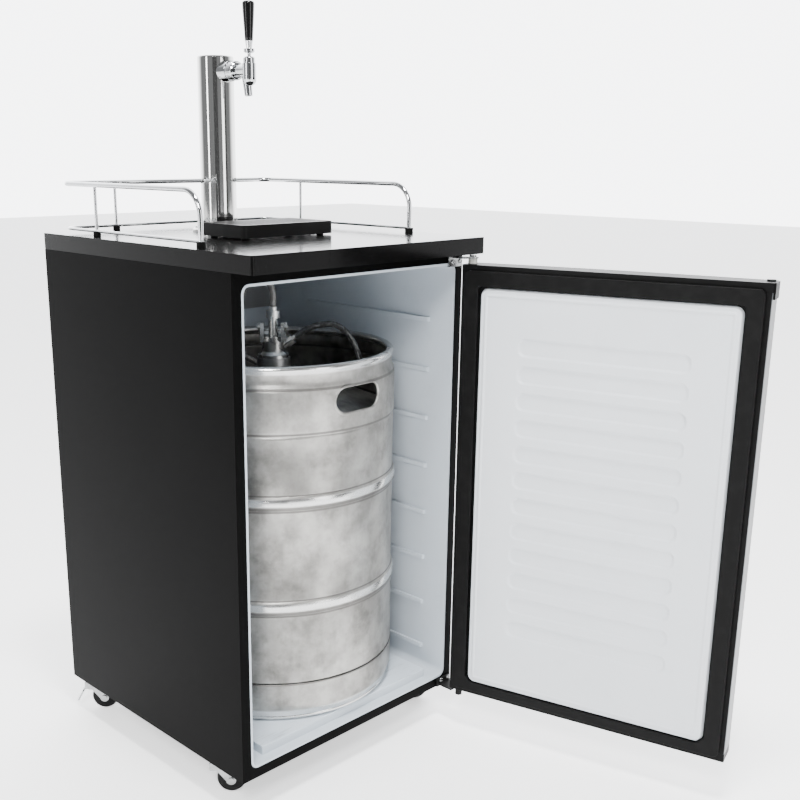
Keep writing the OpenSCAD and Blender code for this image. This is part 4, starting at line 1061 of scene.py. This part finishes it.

# ---------------------------------------------------------------- keg
# A half-barrel of drawn stainless steel, two domed halves welded at the middle with rolled
# hoops, and two skirts welded on as chimes. Its skin is dull and blotched by years of washing,
# with scratches round its belly. Pale bands on the rims and hoops are partly rubbed metal and
# partly a painted highlight; dark lines are partly the welds and partly painted shade in the
# grooves and under the hoops.
keg_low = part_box("keg_bottom_chime")[0]
keg_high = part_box("keg_top_chime")[1]
shell_low, shell_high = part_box("keg_shell")
KEG = Vector(((shell_low.x + shell_high.x) / 2, (shell_low.y + shell_high.y) / 2, keg_low.z))
KEG_H = keg_high.z - keg_low.z
BARREL_R = (shell_high.x - shell_low.x) / 2 - 3 * MM
WELD_LOW = 67 * MM
WELD_HIGH = KEG_H - 105.6 * MM
DOME_RISE = 44 * MM
HOOPS = (KEG_H - 392 * MM, KEG_H - 216.4 * MM)
HOOP_HALF = 10 * MM
CHIME_T = 2.5 * MM


def keg_steel():
    material, place = surface("keg_steel")
    here = place.stretched((1, 1, 1), tuple(KEG))
    height = here.part(2)
    blotch = here.noise(9, 5, 0.62).rise(0.3, 0.72)
    cloud = here.noise(26, 4, 0.6)
    speck = here.noise(420, 3, 0.7).rise(0.6, 0.75)
    drip = here.stretched((34, 34, 2.2)).noise(1.6, 4, 0.6)
    ring = here.stretched((2.5, 2.5, 330)).noise(3, 3, 0.6)
    scratch = here.stretched((5, 5, 120)).noise(6, 2, 0.8).rise(0.66, 0.74)
    # Pale, smoother bands just above each hoop's crest and on the rim and foot rolls: partly rubbed
    # metal, partly a painted highlight.
    rubbed_and_highlit = 0.0
    for hoop in HOOPS:
        rubbed_and_highlit = rubbed_and_highlit + abs(height - hoop - 2 * MM).rise(8 * MM, 4 * MM)
    rubbed_and_highlit = rubbed_and_highlit + abs(height - (KEG_H - 5 * MM)).rise(10 * MM, 5 * MM)
    rubbed_and_highlit = rubbed_and_highlit + abs(height - 8 * MM).rise(14 * MM, 8 * MM)
    # Dark lines at the welds, and painted shade in the hoops' grooves, under each hoop's crest and
    # in the groove under the rim.
    weld_line_and_painted_shade = 0.0
    for place_up, reach in ((HOOPS[0] - 13.5 * MM, 2.2), (HOOPS[0] + 13 * MM, 1.4),
                            (HOOPS[1] - 13.5 * MM, 2.2), (HOOPS[1] + 13 * MM, 1.4),
                            (HOOPS[0] - 8 * MM, 3.2), (HOOPS[1] - 8 * MM, 3.2),
                            (WELD_HIGH, 2.2), (WELD_LOW, 2.6), (KEG_H - 36 * MM, 2.4)):
        weld_line_and_painted_shade = weld_line_and_painted_shade + abs(height - place_up).rise(reach * 1.3 * MM, reach * 0.4 * MM)
    worn = blotch * 0.5 + cloud.rise(0.35, 0.7) * 0.35 + drip * 0.3
    tone = worn.blend((0.5, 0.49, 0.465, 1), (0.13, 0.126, 0.118, 1))
    tone = rubbed_and_highlit.math("MINIMUM", rubbed_and_highlit, 1.0).blend(tone, (0.62, 0.62, 0.61, 1))
    tone = (weld_line_and_painted_shade.math("MINIMUM", weld_line_and_painted_shade, 1.0) * 0.75).blend(tone, (0.1, 0.095, 0.09, 1))
    tone = (speck * 0.35).blend(tone, (0.3, 0.29, 0.27, 1))
    rough = 0.33 + 0.16 * blotch - 0.22 * rubbed_and_highlit.math("MINIMUM", rubbed_and_highlit, 1.0) + 0.06 * cloud
    dents = here.noise(7, 2) * 3.0
    return coated(material, {"Base Color": tone, "Metallic": 0.93, "Roughness": rough},
                  ring * 0.14 + scratch * 0.3 - weld_line_and_painted_shade * 1.2 + dents + speck * 0.12, 0.0003)


KEG_STEEL = keg_steel()


def hoop_points(middle, proud, wall):
    """A rolled hoop with a small flat crest, between two shallow grooves."""
    points = []
    for share in np.linspace(-1, 1, 15):
        rise = math.cos(share * math.pi / 2) ** 0.7 if abs(share) < 1 else 0.0
        groove = 0.8 * MM * (math.exp(-((abs(share) - 1) / 0.12) ** 2))
        points.append((BARREL_R + rise * proud - groove - wall, middle + share * HOOP_HALF * 1.25))
    return points


def dome_points(base, rise, radius, down, steps=12):
    return [(radius * math.sqrt(t), base + rise * (1 - t) - down)
            for t in np.linspace(1, 0.02, steps)]


outside = [(120 * MM, WELD_LOW - 22 * MM), (170 * MM, WELD_LOW - 10 * MM)]
outside += arc(BARREL_R - 6 * MM, WELD_LOW + 5 * MM, 6 * MM, -60, 0, 5)
for hoop in HOOPS:
    outside += hoop_points(hoop, 3 * MM, 0)
outside += arc(BARREL_R - 8 * MM, WELD_HIGH - 8 * MM, 8 * MM, 0, 60, 6)
outside += dome_points(WELD_HIGH, DOME_RISE, BARREL_R - 9 * MM, 0)
keg_outline = [(0, WELD_LOW - 30 * MM), (60 * MM, WELD_LOW - 29 * MM)] + outside
keg_outline += [(0, WELD_HIGH + DOME_RISE)]
piece("keg_barrel", lathe(keg_outline, 192, KEG), KEG_STEEL, ["keg_shell"], sharp=50)
skirt = [(BARREL_R - CHIME_T, WELD_HIGH - 4 * MM), (BARREL_R - 1 * MM, WELD_HIGH - 4 * MM)]
skirt += arc(BARREL_R - 0.5 * MM, WELD_HIGH + 1 * MM, 1.5 * MM, -60, 0, 3)
skirt += [(BARREL_R + 1 * MM, WELD_HIGH + 6 * MM), (BARREL_R + 1 * MM, KEG_H - 38 * MM)]
skirt += [(BARREL_R + 0.2 * MM, KEG_H - 35 * MM), (BARREL_R - 3 * MM, KEG_H - 29 * MM),
          (BARREL_R - 4 * MM, KEG_H - 25 * MM), (BARREL_R - 4 * MM, KEG_H - 15 * MM)]
skirt += arc(BARREL_R - 7 * MM, KEG_H - 6 * MM, 6 * MM, -35, 215, 16)
skirt += [(BARREL_R - 7 * MM, KEG_H - 15 * MM), (BARREL_R - 7 * MM, KEG_H - 25 * MM),
          (BARREL_R - 5.5 * MM, KEG_H - 30 * MM), (BARREL_R - 2 * MM, KEG_H - 37 * MM),
          (BARREL_R - 1.6 * MM, WELD_HIGH + 6 * MM)]
HAND_ANGLES = (-89, 91)
HAND_W = 98 * MM
HAND_H = 44 * MM
HAND_Z = KEG_H - 59 * MM
LIP = 3.2 * MM


def slot_line(angle, half_w, half_h, radius, steps=14):
    """A stadium outline wrapped on the skirt, round a hand hole."""
    line = []
    flat = half_w - half_h
    for end in (1, -1):
        for a in np.linspace(-math.pi / 2, math.pi / 2, steps):
            across = end * (flat + half_h * math.cos(a))
            up = end * half_h * math.sin(a)
            turn = math.radians(angle) + across / radius
            line.append(KEG + Vector((radius * math.cos(turn), radius * math.sin(turn),
                                      HAND_Z + up)))
    return line


def cut(body_shape, cutters, name):
    """A shape with cutters taken out of it by an exact boolean."""
    objects = []
    for number, shape in enumerate([body_shape, *cutters]):
        mesh = bpy.data.meshes.new(f"{name}_{number}")
        shape.to_mesh(mesh)
        shape.free()
        objects.append(add_object(f"{name}_{number}", mesh))
    for cutter in objects[1:]:
        boolean = objects[0].modifiers.new("hole", "BOOLEAN")
        boolean.operation, boolean.solver, boolean.object = "DIFFERENCE", "EXACT", cutter
    mesh = baked(objects[0])
    for cutter in objects[1:]:
        bpy.data.objects.remove(cutter)
    mesh.shade_smooth()
    mesh.set_sharp_from_angle(angle=math.radians(40))
    return mesh


def stadium_block(angle):
    """The solid that a hand hole's punch takes out."""
    made = bmesh.new()
    rings = []
    for reach in (BARREL_R - 30 * MM, BARREL_R + 20 * MM):
        flat = (HAND_W - HAND_H) / 2
        ring = []
        for end in (1, -1):
            for a in np.linspace(-math.pi / 2, math.pi / 2, 16):
                across = end * (flat + HAND_H / 2 * math.cos(a))
                up = HAND_Z + end * HAND_H / 2 * math.sin(a)
                turn = math.radians(angle)
                ring.append(made.verts.new(KEG + Vector((
                    reach * math.cos(turn) - across * math.sin(turn),
                    reach * math.sin(turn) + across * math.cos(turn), up))))
        rings.append(ring)
    count = len(rings[0])
    for k in range(count):
        made.faces.new((rings[0][k], rings[0][(k + 1) % count],
                        rings[1][(k + 1) % count], rings[1][k]))
    made.faces.new(rings[0][::-1])
    made.faces.new(rings[1])
    bmesh.ops.recalc_face_normals(made, faces=made.faces)
    return made


hand_holes = [stadium_block(angle) for angle in HAND_ANGLES]
skirt_mesh = cut(lathe(skirt, 192, KEG, closed=True), hand_holes, "skirt")
piece("keg_top_skirt", skirt_mesh, KEG_STEEL, ["keg_top_chime"])
LIP_OUT = 0.6 * MM
lips = [swept(slot_line(angle, HAND_W / 2 + LIP_OUT, HAND_H / 2 + LIP_OUT, BARREL_R - 1.2 * MM),
              LIP, 12, closed=True) for angle in HAND_ANGLES]
piece("hand_hole_lips", joined(lips[0], lips[1:]), KEG_STEEL, [], body="cabinet")
foot = [(BARREL_R - CHIME_T, WELD_LOW - 4 * MM), (BARREL_R - CHIME_T, 30 * MM),
        (BARREL_R - 6 * MM, 20 * MM), (BARREL_R - 11 * MM, 13 * MM)]
foot += arc(BARREL_R - 11 * MM, 5 * MM, 5 * MM, 130, 390, 16)
foot += [(BARREL_R - 3.5 * MM, 16 * MM), (BARREL_R - 0.6 * MM, 24 * MM), (BARREL_R, 32 * MM)]
foot += [(BARREL_R, WELD_LOW - 2 * MM)]
foot += arc(BARREL_R - 1 * MM, WELD_LOW - 1 * MM, 1.3 * MM, 0, 90, 3)
piece("keg_foot_skirt", lathe(foot, 192, KEG, closed=True), KEG_STEEL, ["keg_bottom_chime"])
painted("keg_valve", brushed("neck_steel", grey(0.3), grey(0.55), 0.34, (120, 120, 20)))

# ---------------------------------------------------------------- coupler
# The tap coupler twists into the keg's neck. Its plated body carries the handle that drives the
# probe down, the gas nipple on its side and the beer connection on top.
COUPLER_METAL = brushed("coupler_metal", (0.46, 0.46, 0.45, 1), (0.78, 0.78, 0.76, 1), 0.2,
                        (30, 30, 60), depth=0.00002)
eased_edges("coupler_body", 0.7 * MM, COUPLER_METAL)
eased_edges("coupler_lever", 1.6 * MM, COUPLER_METAL, segments=4)
eased_edges("coupler_probe", 0.7 * MM, COUPLER_METAL)

# ---------------------------------------------------------------- casters
# Four swivel casters of pressed, zinc-plated steel with hard black wheels. The rear pair has a
# brake pedal.
WHEEL_BLACK = dull_plastic("wheel_black", grey(0.002), grey(0.007), 0.42, 500, 0.1)
eased_edges("caster_plates", 0.4 * MM, ZINC)
for place in ("rear_left", "rear_right", "front_left", "front_right"):
    eased_edges("fork_" + place, 0.45 * MM, ZINC)
    eased_edges("wheel_" + place, 0.5 * MM, WHEEL_BLACK)
for side in ("left", "right"):
    eased_edges("brake_pedal_" + side, 0.4 * MM, ZINC)
